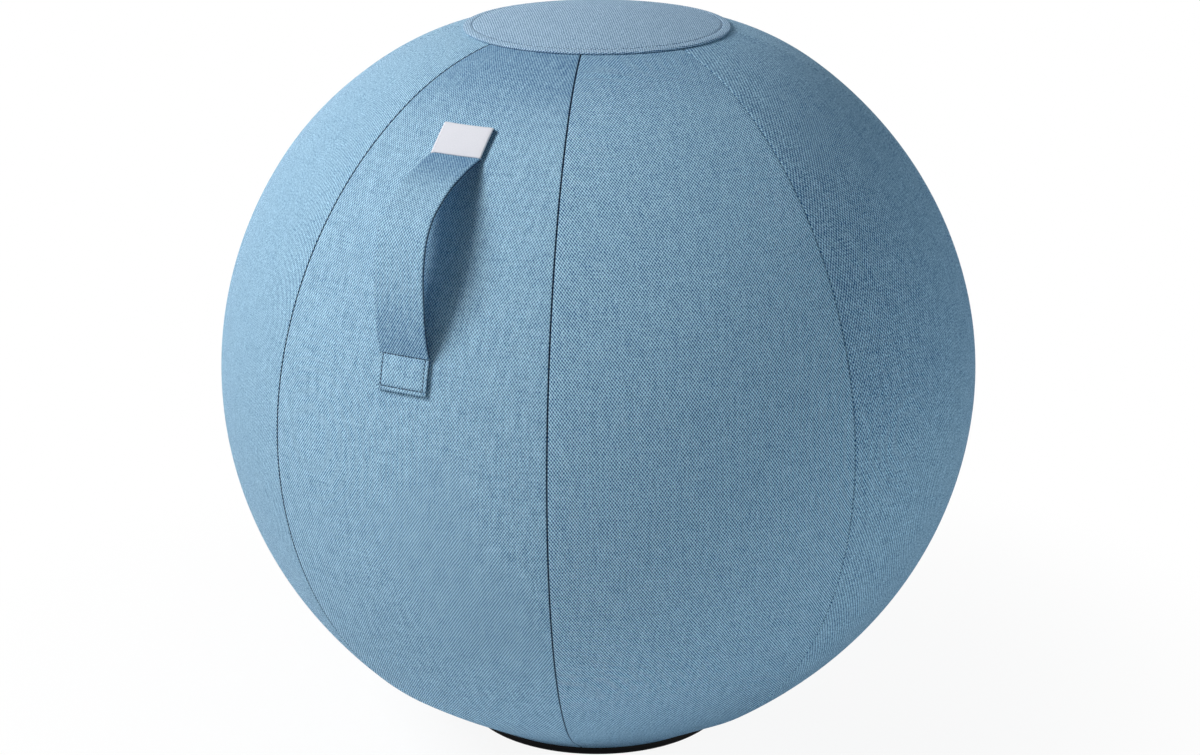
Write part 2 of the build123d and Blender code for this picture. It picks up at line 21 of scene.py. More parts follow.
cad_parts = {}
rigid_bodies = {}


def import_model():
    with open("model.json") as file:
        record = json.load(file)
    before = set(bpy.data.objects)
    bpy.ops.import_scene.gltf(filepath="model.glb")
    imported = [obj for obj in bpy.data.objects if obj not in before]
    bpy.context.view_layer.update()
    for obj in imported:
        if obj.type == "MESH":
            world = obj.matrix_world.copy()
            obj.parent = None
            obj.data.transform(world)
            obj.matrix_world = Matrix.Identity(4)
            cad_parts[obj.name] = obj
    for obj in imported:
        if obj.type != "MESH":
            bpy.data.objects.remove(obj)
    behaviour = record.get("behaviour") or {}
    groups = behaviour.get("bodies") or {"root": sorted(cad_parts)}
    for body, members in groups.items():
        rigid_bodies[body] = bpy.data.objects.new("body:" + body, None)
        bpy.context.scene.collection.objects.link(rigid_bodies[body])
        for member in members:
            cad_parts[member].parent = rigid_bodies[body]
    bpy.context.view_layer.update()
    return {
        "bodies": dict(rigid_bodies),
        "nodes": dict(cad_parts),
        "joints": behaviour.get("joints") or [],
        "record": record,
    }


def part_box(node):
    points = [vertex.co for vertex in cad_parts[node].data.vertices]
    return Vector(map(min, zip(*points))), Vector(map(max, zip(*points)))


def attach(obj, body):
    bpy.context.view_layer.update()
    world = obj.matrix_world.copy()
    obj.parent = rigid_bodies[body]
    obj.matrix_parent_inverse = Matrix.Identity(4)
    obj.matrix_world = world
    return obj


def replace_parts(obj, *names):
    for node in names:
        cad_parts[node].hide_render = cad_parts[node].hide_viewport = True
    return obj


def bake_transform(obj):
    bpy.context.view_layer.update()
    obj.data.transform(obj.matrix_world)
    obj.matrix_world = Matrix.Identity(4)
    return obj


LOG = logging.getLogger("sitting_ball")
MM = 0.001
CLOTH_UV = "cloth"
# Name of the mesh attribute that says where painted shade darkens the cloth.
SHADE_MASK_NAME = "fold"
UP = Vector((0, 0, 1))
FULL_TURN = 2 * math.pi
NOISE_ROUGHNESS = 0.6
NOISE_SPREAD = 4.0
SHEET_WELD = 0.001 * MM
TURNED_WELD = 0.01 * MM

Colour = tuple[float, float, float, float]
WHITE: Colour = (1.0, 1.0, 1.0, 1.0)


def colour(red: int, green: int, blue: int) -> Colour:
    """Colour for a shader from the 0 to 255 values seen on a screen.

    Args:
        red: Red as seen on a screen.
        green: Green as seen on a screen.
        blue: Blue as seen on a screen.

    Returns:
        The same colour in linear light, with full alpha.
    """

    def linear(level: int) -> float:
        """One channel in linear light, by the sRGB standard's curve."""
        share = level / 255
        return share / 12.92 if share <= 0.04045 else ((share + 0.055) / 1.055) ** 2.4

    return linear(red), linear(green), linear(blue), 1.0


def smooth_step(low: float, high: float, value: float) -> float:
    """Smooth rise from 0 at low to 1 at high, or a fall where high is the lower of the two."""
    share = min(max((value - low) / (high - low), 0.0), 1.0)
    return share * share * (3 - 2 * share)


def dip(distance: float, width: float) -> float:
    """Round dip of depth 1 at distance 0, fading over a width."""
    return math.exp(-((distance / width) ** 2))


# Materials


class Value:
    """A number on its way through a material's nodes, with the usual arithmetic."""

    def __init__(self, graph: NodeGraph, socket: bpy.types.NodeSocket) -> None:
        """Wraps a node's output in a graph."""
        self.graph = graph
        self.socket = socket

    def _math(self, operation: str, *operands: Operand) -> Value:
        """Adds a Math node.

        Args:
            operation: The node's operation.
            *operands: Its inputs in order.

        Returns:
            The node's result.
        """
        inputs = dict(enumerate(operands))
        made = self.graph.node("ShaderNodeMath", {"operation": operation}, inputs)
        return Value(self.graph, made.outputs[0])

    def __add__(self, other: Operand) -> Value:
        """Sum."""
        return self._math("ADD", self, other)

    def __radd__(self, other: Operand) -> Value:
        """Sum with a plain number first."""
        return self._math("ADD", other, self)

    def __sub__(self, other: Operand) -> Value:
        """Difference."""
        return self._math("SUBTRACT", self, other)

    def __rsub__(self, other: Operand) -> Value:
        """Difference with a plain number first."""
        return self._math("SUBTRACT", other, self)

    def __mul__(self, other: Operand) -> Value:
        """Product."""
        return self._math("MULTIPLY", self, other)

    def __rmul__(self, other: Operand) -> Value:
        """Product with a plain number first."""
        return self._math("MULTIPLY", other, self)

    def sine(self) -> Value:
        """Sine of the number."""
        return self._math("SINE", self)

    def larger(self, other: Operand) -> Value:
        """The larger of two numbers."""
        return self._math("MAXIMUM", self, other)

    def within_one(self) -> Value:
        """The number held between 0 and 1."""
        return self._math("MINIMUM", self._math("MAXIMUM", self, 0.0), 1.0)

    def rise(self, low: float, high: float) -> Value:
        """Smooth rise from 0 to 1.

        Args:
            low: The number where the rise starts.
            high: The number where it ends.

        Returns:
            The height of the rise.
        """
        settings = {"interpolation_type": "SMOOTHSTEP"}
        inputs = {"Value": self, "From Min": low, "From Max": high}
        made = self.graph.node("ShaderNodeMapRange", settings, inputs)
        return Value(self.graph, made.outputs["Result"])


Operand = Union[Value, float]
Input = Union[Value, bpy.types.NodeSocket, float, tuple]


class NodeGraph:
    """The nodes of one material or world."""

    def __init__(self, tree: bpy.types.NodeTree) -> None:
        """Starts from an empty tree."""
        self.tree = tree
        self.tree.nodes.clear()

    def node(
        self, kind: str, settings: dict | None = None, inputs: dict | None = None
    ) -> bpy.types.Node:
        """Adds a node.

        Args:
            kind: The node's type.
            settings: Its settings by name, set before its sockets.
            inputs: Values or links of its input sockets, by name or number.

        Returns:
            The new node.
        """
        made = self.tree.nodes.new(kind)
        for name, setting in (settings or {}).items():
            setattr(made, name, setting)
        for name, given in (inputs or {}).items():
            self.feed(made.inputs[name], given)
        return made

    def feed(self, socket: bpy.types.NodeSocket, given: Input) -> None:
        """Links or sets an input socket.

        Args:
            socket: The input.
            given: A wrapped number, an output socket or a plain value.
        """
        if isinstance(given, Value):
            self.tree.links.new(given.socket, socket)
        elif isinstance(given, bpy.types.NodeSocket):
            self.tree.links.new(given, socket)
        else:
            socket.default_value = given

    def mix(self, share: Operand, first: Input, second: Input) -> bpy.types.NodeSocket:
        """Output of a mix of two colours: the first at a share of 0, the second at 1."""
        # The node's sockets for colours come after those for numbers and vectors.
        made = self.node("ShaderNodeMix", {"data_type": "RGBA"}, {0: share, 6: first, 7: second})
        return made.outputs[2]

    def split(self, vector: bpy.types.NodeSocket) -> tuple[Value, Value, Value]:
        """The three numbers of a vector."""
        made = self.node("ShaderNodeSeparateXYZ", None, {"Vector": vector})
        return tuple(Value(self, output) for output in made.outputs)

    def joined(self, x: Operand, y: Operand, z: Operand = 0.0) -> bpy.types.NodeSocket:
        """A vector from three numbers."""
        return self.node("ShaderNodeCombineXYZ", None, {"X": x, "Y": y, "Z": z}).outputs[0]

    def cloth(self) -> tuple[Value, Value]:
        """Place on the cloth in metres: across it and along it."""
        made = self.node("ShaderNodeUVMap", {"uv_map": CLOTH_UV})
        across, along, _ = self.split(made.outputs["UV"])
        return across, along

    def fold(self) -> Value:
        """How much painted shade a place gets, from 0 upwards, in seam grooves, strap sides and box
        grooves.
        """
        made = self.node("ShaderNodeAttribute", {"attribute_name": SHADE_MASK_NAME})
        return Value(self, made.outputs["Fac"])

    def place(self) -> bpy.types.NodeSocket:
        """Place in the part's frame, in metres."""
        return self.node("ShaderNodeTexCoord").outputs["Object"]

    def noise(self, vector: bpy.types.NodeSocket, scale: float, detail: float = 2.0) -> Value:
        """Soft noise about zero, from about -1 to 1.

        Args:
            vector: Where to read it.
            scale: Grains in a metre of the vector.
            detail: How many finer layers it has.

        Returns:
            The noise.
        """
        inputs = {"Vector": vector, "Scale": scale, "Detail": detail, "Roughness": NOISE_ROUGHNESS}
        made = self.node("ShaderNodeTexNoise", None, inputs)
        return (Value(self, made.outputs["Fac"]) - 0.5) * NOISE_SPREAD


@dataclass(frozen=True)
class Surface:
    """What a finish paints: its colour, roughness and, where it has relief, height in metres."""

    colour: Input
    roughness: Operand
    height: Value | None = None


@dataclass(frozen=True)
class Finish:
    """A finish of the object's surfaces."""

    name: str
    slot: str | None = None
    specular: float = 0.3
    metal: float = 0.0
    sheen: float = 0.0
    sheen_roughness: float = 0.45
    sheen_tint: Colour = WHITE

    def paint(self, graph: NodeGraph) -> Surface:
        """Paints the finish; each kind of finish has its own way."""
        raise NotImplementedError

    def material(self) -> bpy.types.Material:
        """The finish's material, made on its first use.

        Returns:
            The material.
        """
        known = bpy.data.materials.get(self.name)
        if known:
            return known
        made = bpy.data.materials.new(self.name)
        made.use_nodes = True
        graph = NodeGraph(made.node_tree)
        surface = self.paint(graph)
        inputs = {
            "Base Color": surface.colour,
            "Roughness": surface.roughness,
            "Metallic": self.metal,
            "Specular IOR Level": self.specular,
            "Sheen Weight": self.sheen,
            "Sheen Roughness": self.sheen_roughness,
            "Sheen Tint": self.sheen_tint,
        }
        if surface.height:
            relief = {"Strength": 1.0, "Distance": 1.0, "Height": surface.height}
            inputs["Normal"] = graph.node("ShaderNodeBump", None, relief).outputs["Normal"]
        shader = graph.node("ShaderNodeBsdfPrincipled", None, inputs)
        graph.node("ShaderNodeOutputMaterial", None, {"Surface": shader.outputs[0]})
        return made


class Lean(Enum):
    """Which way the twill's ridges rise, seen from outside."""

    RIGHT = 1
    LEFT = -1


@dataclass(frozen=True)
class ShadeBand:
    """A stretch of cloth, along its length, made darker by painted shade or lighter by painted
    light, by its tone.
    """

    start: float
    end: float
    tone: float


@dataclass(frozen=True)
class TwillFinish(Finish):
    """Two-tone twill: light and dark yarns in slanting ridges, speckled and faintly streaked."""

    dark: Colour = colour(10, 76, 128)
    light: Colour = colour(192, 231, 249)
    # The colour below is painted shade: the navy of seam grooves, strap sides and box grooves.
    painted_shade_colour: Colour = colour(10, 30, 58)
    lean: Lean = Lean.RIGHT
    balance: float = 0.52
    pitch: float = 1.9 * MM
    rise: float = math.radians(54)
    ridge_height: float = 0.1 * MM
    contrast: float = 1.0
    ridge_contrast: float = 0.46
    cross_contrast: float = 0.30
    speckle_contrast: float = 0.30
    speckle_grains: float = 620.0
    speckle_relief: float = 0.05
    streak_contrast: float = 0.09
    streak_grains: tuple[float, float] = (420.0, 36.0)
    bar_share: float = 0.6
    mottle_contrast: float = 0.06
    mottle_grains: float = 150.0
    wander: float = 0.7
    wander_grains: tuple[float, float] = (100.0, 80.0)
    painted_shade_rise: tuple[float, float] = (0.12, 0.7)
    roughness: float = 0.85
    roughness_change: float = 0.05
    shade_bands: tuple[ShadeBand, ...] = ()

    def paint(self, graph: NodeGraph) -> Surface:
        """Paints ridges, speckle, streaks and painted shade on the cloth's own coordinates.

        Args:
            graph: The material's nodes.

        Returns:
            The painted surface.
        """
        across, along = graph.cloth()
        flat = graph.joined(across, along)
        turns = FULL_TURN / self.pitch
        drift, climb = (graph.noise(flat, grains) * self.wander for grains in self.wander_grains)
        sideways = across * (self.lean.value * math.sin(self.rise) * turns) + drift
        upwards = along * (math.cos(self.rise) * turns) + climb
        ridge = (sideways - upwards).sine()
        crossing = (sideways + upwards).sine()
        speckle = graph.noise(flat, self.speckle_grains, detail=1.0)
        mottle = graph.noise(flat, self.mottle_grains, detail=1.0)
        fine, coarse = self.streak_grains
        streaks = graph.noise(graph.joined(across * fine, along * coarse), scale=1.0, detail=1.0)
        bars = graph.noise(graph.joined(across * coarse, along * fine), scale=1.0, detail=1.0)
        weaving = self.ridge_contrast * ridge + self.cross_contrast * crossing
        tone = self.balance + self.contrast * (weaving + self.speckle_contrast * speckle)
        tone = tone + self.streak_contrast * (streaks + self.bar_share * bars)
        tone = tone + self.mottle_contrast * mottle
        # Painted shade bands along the cloth's length.
        for shade_band in self.shade_bands:
            tone = tone + shade_band.tone * along.rise(shade_band.start, shade_band.end)
        relief = weaving + self.speckle_relief * speckle
        weave = graph.mix(tone.within_one(), self.dark, self.light)
        return Surface(
            # Painted shade: towards navy where the shade mask marks a seam groove, strap side or
            # box groove.
            graph.mix(graph.fold().rise(*self.painted_shade_rise), weave, self.painted_shade_colour),
            self.roughness + self.roughness_change * speckle,
            relief * self.ridge_height,
        )


@dataclass(frozen=True)
class TonedFinish(Finish):
    """A finish whose colour goes between a shade and a glint."""

    shade: Colour = colour(40, 42, 46)
    glint: Colour = colour(60, 62, 66)
    balance: float = 0.4
    roughness: float = 0.45
    roughness_change: float = 0.08

    def toned(
        self, graph: NodeGraph, tone: Value, change: Value, height: Value | None = None
    ) -> Surface:
        """A surface with the finish's two tones.

        Args:
            graph: The material's nodes.
            tone: How far the tone is from its balance.
            change: How the roughness changes, from about -1 to 1.
            height: The relief in metres.

        Returns:
            The painted surface.
        """
        share = (self.balance + tone).within_one()
        roughness = self.roughness + self.roughness_change * change
        return Surface(graph.mix(share, self.shade, self.glint), roughness, height)


@dataclass(frozen=True)
class WovenFinish(TonedFinish):
    """Plain woven tape, label or base cloth: fine ribs both ways and a little dirt in the tone."""

    shade: Colour = colour(30, 30, 32)
    glint: Colour = colour(60, 60, 64)
    rib: float = 0.9 * MM
    rib_height: float = 0.05 * MM
    weave_contrast: float = 0.25
    weave_relief: float = 0.5
    fibre_contrast: float = 0.15
    fibre_grains: float = 900.0
    fibre_relief: float = 0.2
    cloud_contrast: float = 0.1
    cloud_grains: float = 25.0
    roughness: float = 0.8
    roughness_change: float = 0.06
    on_cloth: bool = True

    def paint(self, graph: NodeGraph) -> Surface:
        """Paints the ribs on the cloth's coordinates, or on the part's where the piece has none.

        Args:
            graph: The material's nodes.

        Returns:
            The painted surface.
        """
        if self.on_cloth:
            across, along = graph.cloth()
        else:
            across, along, _ = graph.split(graph.place())
        flat = graph.joined(across, along)
        turns = FULL_TURN / self.rib
        weave = (across * turns).sine() * (along * turns).sine()
        fibre = graph.noise(flat, self.fibre_grains)
        cloud = graph.noise(flat, self.cloud_grains)
        tone = self.weave_contrast * weave + self.fibre_contrast * fibre
        tone = tone + self.cloud_contrast * cloud
        relief = self.weave_relief * weave + self.fibre_relief * fibre
        return self.toned(graph, tone, fibre, relief * self.rib_height)


@dataclass(frozen=True)
class ThreadFinish(TonedFinish):
    """Sewing thread: a twisted, slightly glossy yarn."""

    shade: Colour = colour(30, 52, 82)
    glint: Colour = colour(72, 102, 134)
    fibre_contrast: float = 0.4
    fibre_grains: float = 1500.0
    roughness: float = 0.55
    roughness_change: float = 0.1

    def paint(self, graph: NodeGraph) -> Surface:
        """Paints a fine fibrous mottle on the part's coordinates."""
        fibre = graph.noise(graph.place(), self.fibre_grains)
        return self.toned(graph, self.fibre_contrast * fibre, fibre)


@dataclass(frozen=True)
class MouldedFinish(TonedFinish):
    """Moulded plastic or rubber skin: a fine grain with soft clouds in the tone."""

    grain: float = 800.0
    grain_height: float = 0.02 * MM
    grain_contrast: float = 0.2
    grains_in_cloud: float = 40
    cloud_contrast: float = 0.25

    def paint(self, graph: NodeGraph) -> Surface:
        """Paints grain and clouds on the part's coordinates.

        Args:
            graph: The material's nodes.

        Returns:
            The painted surface.
        """
        place = graph.place()
        grain = graph.noise(place, self.grain)
        cloud = graph.noise(place, self.grain / self.grains_in_cloud)
        tone = self.grain_contrast * grain + self.cloud_contrast * cloud
        return self.toned(graph, tone, cloud, grain * self.grain_height)


@dataclass(frozen=True)
class MetalFinish(MouldedFinish):
    """Plated metal: brushed a little and worn paler in clouds."""

    metal: float = 1.0
    shade: Colour = colour(120, 122, 126)
    glint: Colour = colour(188, 190, 194)
    grain: float = 2500.0
    grain_height: float = 0.004 * MM
    roughness: float = 0.3


# Cloth and stitching


@dataclass(frozen=True)
class SheetPoint:
    """A point of a bent sheet: its place, also on the flat cloth, and how much painted shade it
    gets.
    """

    place: Vector
    cloth: tuple[float, float]
    fold: float = 0.0


@dataclass(frozen=True)
class SurfacePoint:
    """A place on the cover and its directions: outwards, up, and right as seen from outside."""

    place: Vector
    normal: Vector
    along: Vector
    across: Vector

    def moved(self, across: float = 0.0, along: float = 0.0, out: float = 0.0) -> Vector:
        """The place moved along its own directions."""
        return self.place + self.across * across + self.along * along + self.normal * out


def run_length(frames: list[SurfacePoint]) -> float:
    """Length of a line through places."""
    return sum((after.place - before.place).length for before, after in zip(frames, frames[1:]))


def shown(data: bpy.types.Mesh, name: str, finish: Finish) -> bpy.types.Object:
    """Puts a mesh into the scene with its finish, and logs it.

    Args:
        data: The mesh.
        name: The piece's name.
        finish: Its finish.

    Returns:
        The new object.
    """
    made = bpy.data.objects.new(name, data)
    bpy.context.scene.collection.objects.link(made)
    data.materials.clear()
    data.materials.append(finish.material())
    LOG.info("%s: %d faces, %s", name, len(data.polygons), finish.name)
    return made


def standing_in(piece: bpy.types.Object, node: str, body: str = "ball") -> bpy.types.Object:
    """The same piece, riding on a body in place of a CAD node."""
    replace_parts(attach(piece, body), node)
    return piece


def finished(mesh: bmesh.types.BMesh, name: str, finish: Finish) -> bpy.types.Object:
    """Turns a bmesh into a smooth object with its finish.

    Args:
        mesh: The shape, which is freed.
        name: The piece's name.
        finish: Its finish.

    Returns:
        The new object, linked into the scene.
    """
    for face in mesh.faces:
        face.smooth = True
    data = bpy.data.meshes.new(name)
    mesh.to_mesh(data)
    mesh.free()
    return shown(data, name, finish)


def bent_sheet(
    columns: int, rows: int, shape: Callable[[float, float], SheetPoint]
) -> bmesh.types.BMesh:
    """Bends a flat grid into a sheet.

    Args:
        columns: Faces across the grid.
        rows: Faces along it.
        shape: Gives a point of the sheet for two numbers from -1 to 1, across and along.

    Returns:
        The sheet, with the cloth's coordinates as its UV map.
    """
    mesh = bmesh.new()
    cloth = mesh.loops.layers.uv.new(CLOTH_UV)
    fold = mesh.verts.layers.float.new(SHADE_MASK_NAME)
    bmesh.ops.create_grid(mesh, x_segments=columns, y_segments=rows, size=1.0)
    points = {vert: shape(vert.co.x, vert.co.y) for vert in mesh.verts}
    for face in mesh.faces:
        for loop in face.loops:
            loop[cloth].uv = points[loop.vert].cloth
    for vert, point in points.items():
        vert.co = point.place
        vert[fold] = point.fold
    return mesh


def closed(mesh: bmesh.types.BMesh) -> None:
    """Joins a sheet that is bent round on itself and closes its open ends with sharp-edged caps.

    Args:
        mesh: The sheet.
    """
    bmesh.ops.remove_doubles(mesh, verts=mesh.verts, dist=SHEET_WELD)
    rims = [edge for edge in mesh.edges if edge.is_boundary]
    bmesh.ops.holes_fill(mesh, edges=rims, sides=0)
    for edge in rims:
        edge.smooth = False
    bmesh.ops.recalc_face_normals(mesh, faces=mesh.faces)


def turned(outline: list[tuple[float, float]], steps: int) -> bmesh.types.BMesh:
    """Turns an outline about the ball's axis into a closed round piece.

    Args:
        outline: Distance from the axis and height of each point, in order.
        steps: Faces round the axis.

    Returns:
        The round piece, with its cloth laid out flat round its middle as its UV map.
    """
    mesh = bmesh.new()
    cloth = mesh.loops.layers.uv.new(CLOTH_UV)
    verts = [mesh.verts.new((radius, 0.0, height)) for radius, height in outline]
    edges = [mesh.edges.new(pair) for pair in zip(verts, verts[1:])]
    bmesh.ops.spin(
        mesh,
        geom=verts + edges,
        cent=(0, 0, 0),
        axis=UP,
        angle=FULL_TURN,
        steps=steps,
        use_merge=True,
    )
    bmesh.ops.remove_doubles(mesh, verts=mesh.verts, dist=TURNED_WELD)
    bmesh.ops.recalc_face_normals(mesh, faces=mesh.faces)
    lengths = [0.0]
    for (r0, h0), (r1, h1) in zip(outline, outline[1:]):
        lengths.append(lengths[-1] + math.hypot(r1 - r0, h1 - h0))
    runs = {}
    for vert in mesh.verts:
        radius, height = vert.co.xy.length, vert.co.z
        gaps = [math.hypot(r - radius, h - height) for r, h in outline]
        runs[vert] = vert.co.xy.normalized() * lengths[gaps.index(min(gaps))]
    for face in mesh.faces:
        for loop in face.loops:
            loop[cloth].uv = runs[loop.vert]
    return mesh


def thicken(piece: bpy.types.Object, thickness: float) -> None:
    """Gives a sheet its thickness, inwards from its face.

    Args:
        piece: The sheet.
        thickness: Its thickness.
    """
    solid = piece.modifiers.new("thickness", "SOLIDIFY")
    solid.thickness = thickness
    solid.offset = -1


def smooth_line(points: list[Vector], resolution: int) -> list[Vector]:
    """Smooth line through a few points.

    Args:
        points: The points, in order.
        resolution: Steps between each two of them.

    Returns:
        Points along the line.
    """
    curve = bpy.data.curves.new("line", "CURVE")
    curve.dimensions = "3D"
    spline = curve.splines.new("BEZIER")
    spline.bezier_points.add(len(points) - 1)
    for given, made in zip(points, spline.bezier_points):
        made.co = given
        made.handle_left_type = "AUTO"
        made.handle_right_type = "AUTO"
    spline.resolution_u = resolution
    holder = bpy.data.objects.new("line", curve)
    line = bpy.data.meshes.new_from_object(holder)
    found = [vert.co.copy() for vert in line.vertices]
    bpy.data.objects.remove(holder)
    bpy.data.curves.remove(curve)
    bpy.data.meshes.remove(line)
    return found


@dataclass(frozen=True)
class Stitch:
    """One stitch: its middle, the way it runs and the way out of the cloth."""

    place: Vector
    run: Vector
    out: Vector


@dataclass(frozen=True)
class Seamstress:
    """Sews rows of stitches."""

    thread: Finish
    length: float = 2.0 * MM
    thickness: float = 0.55 * MM

    def sew(self, name: str, stitches: Iterable[Stitch]) -> bpy.types.Object:
        """Makes a row of stitches, each a small round-ended bead of thread.

        Args:
            name: The row's name.
            stitches: Where they are.

        Returns:
            The row as one piece.
        """
        mesh = bmesh.new()
        for stitch in stitches:
            run = stitch.run.normalized() * (self.length / 2)
            out = stitch.out.normalized() * (self.thickness / 2)
            side = out.cross(run).normalized() * (self.thickness / 2)
            frame = Matrix((run, side, out)).transposed().to_4x4()
            frame.translation = stitch.place
            bmesh.ops.create_icosphere(mesh, subdivisions=1, radius=1.0, matrix=frame)
        return finished(mesh, name, self.thread)


# The cover


@dataclass(frozen=True)
class Arc:
    """A round stretch of an outline, with its centre from the axis and from the floor."""

    length: float
    slope: float
    radius: float
    centre: float
    height: float

    def at(self, distance: float) -> tuple[float, float, float]:
        """A point of the arc.

        Args:
            distance: Length along the arc from its start.

        Returns:
            Its distance from the axis, its height and its normal's slope above the level.
        """
        slope = self.slope + distance / self.radius
        reach, rise = self.radius * math.cos(slope), self.radius * math.sin(slope)
        return self.centre + reach, self.height + rise, slope


@dataclass(frozen=True)
class Meridian:
    """The cover's outline in a plane through the ball's axis: hem, ball, shoulder and crown."""

    radius: float
    centre_height: float
    rim_radius: float
    rim_height: float
    disc_radius: float
    crown_radius: float = 480 * MM
    shoulder_latitude: float = math.radians(54)
    disc_overlap: float = 14 * MM

    @cached_property
    def hem(self) -> tuple[float, float]:
        """The straight hem, which meets the ball at a tangent.

        Returns:
            Its length and the latitude where it meets the ball.
        """
        depth = self.centre_height - self.rim_height
        reach = math.hypot(self.rim_radius, depth)
        angle = math.atan2(self.rim_radius, depth) + math.acos(self.radius / reach)
        length = math.sqrt(self.rim_radius**2 + depth**2 - self.radius**2)
        return length, angle - math.pi / 2

    @cached_property
    def arcs(self) -> tuple[Arc, Arc, Arc]:
        """The outline's arcs above the hem.

        Returns:
            Those of the ball, the shoulder and the crown.
        """
        low, latitude = self.hem[1], self.shoulder_latitude
        level = math.cos(latitude)
        slope = math.asin(self.disc_radius / self.crown_radius)
        high = math.pi / 2 - slope
        radius = (self.radius * level - self.disc_radius) / (level - math.sin(slope))
        offset = self.radius - radius
        height = self.centre_height + offset * math.sin(latitude)
        crown = height + (radius - self.crown_radius) * math.cos(slope)
        return (
            Arc(self.radius * (latitude - low), low, self.radius, 0.0, self.centre_height),
            Arc(radius * (high - latitude), latitude, radius, offset * level, height),
            Arc(math.inf, high, self.crown_radius, 0.0, crown),
        )

    @cached_property
    def length(self) -> float:
        """Length of the outline from the base's rim to the gores' ends under the seat disc."""
        return self.hem[0] + self.arcs[0].length + self.arcs[1].length + self.disc_overlap

    def distance(self, latitude: float) -> float:
        """Distance along the outline from the base's rim to a latitude on the ball."""
        length, low = self.hem
        return length + self.radius * (latitude - low)

    def outline(self, distance: float) -> tuple[float, float, float]:
        """A point of the outline.

        Args:
            distance: Length of cover from the base's rim.

        Returns:
            Its distance from the axis, its height and its normal's slope above the level.
        """
        rest = distance - self.hem[0]
        if rest < 0:
            radius, height, slope = self.arcs[0].at(0.0)
            return radius - rest * math.sin(slope), height + rest * math.cos(slope), slope
        for arc in self.arcs:
            if rest < arc.length:
                break
            rest -= arc.length
        return arc.at(rest)

    def crown_height(self, radius: float) -> float:
        """Height of the crown at a distance from the axis."""
        return self.arcs[2].height + math.sqrt(self.crown_radius**2 - radius**2)

    def at(self, distance: float, turn: float) -> SurfacePoint:
        """A place on the cover.

        Args:
            distance: Length of cover from the base's rim.
            turn: Angle about the ball's axis, from +X.

        Returns:
            The place and its directions.
        """
        radius, height, slope = self.outline(distance)
        radial = Vector((math.cos(turn), math.sin(turn), 0.0))
        across = Vector((-math.sin(turn), math.cos(turn), 0.0))
        normal = radial * math.cos(slope) + UP * math.sin(slope)
        return SurfacePoint(radial * radius + UP * height, normal, normal.cross(across), across)


@dataclass(frozen=True)
class ZipPlace:
    """Where the zip lies in its seam, and the gap that the gores leave for it."""

    seam: int = 4
    top_latitude: float = math.radians(1.94)
    bottom_latitude: float = math.radians(-56.13)
    gap: float = 4.75 * MM
    ease: float = 9 * MM
    chain_depth: float = 1.1 * MM
    tape_tail: float = 7 * MM
    tape_near: float = 2.9 * MM
    tape_far: float = 13 * MM
    tape_thickness: float = 0.5 * MM

    def opening(self, meridian: Meridian, distance: float) -> float:
        """How far the gores stand back from the seam.

        Args:
            meridian: The seam's outline.
            distance: Length of cover from the base's rim.

        Returns:
            The share of the full gap.
        """
        low = meridian.distance(self.bottom_latitude)
        high = meridian.distance(self.top_latitude)
        return min(
            smooth_step(low - self.ease / 2, low + self.ease / 2, distance),
            smooth_step(high + self.ease / 2, high - self.ease / 2, distance),
        )


GORE_NAMES = (
    "front", "front_right", "right", "rear_right", "rear", "rear_left", "left", "front_left"
)


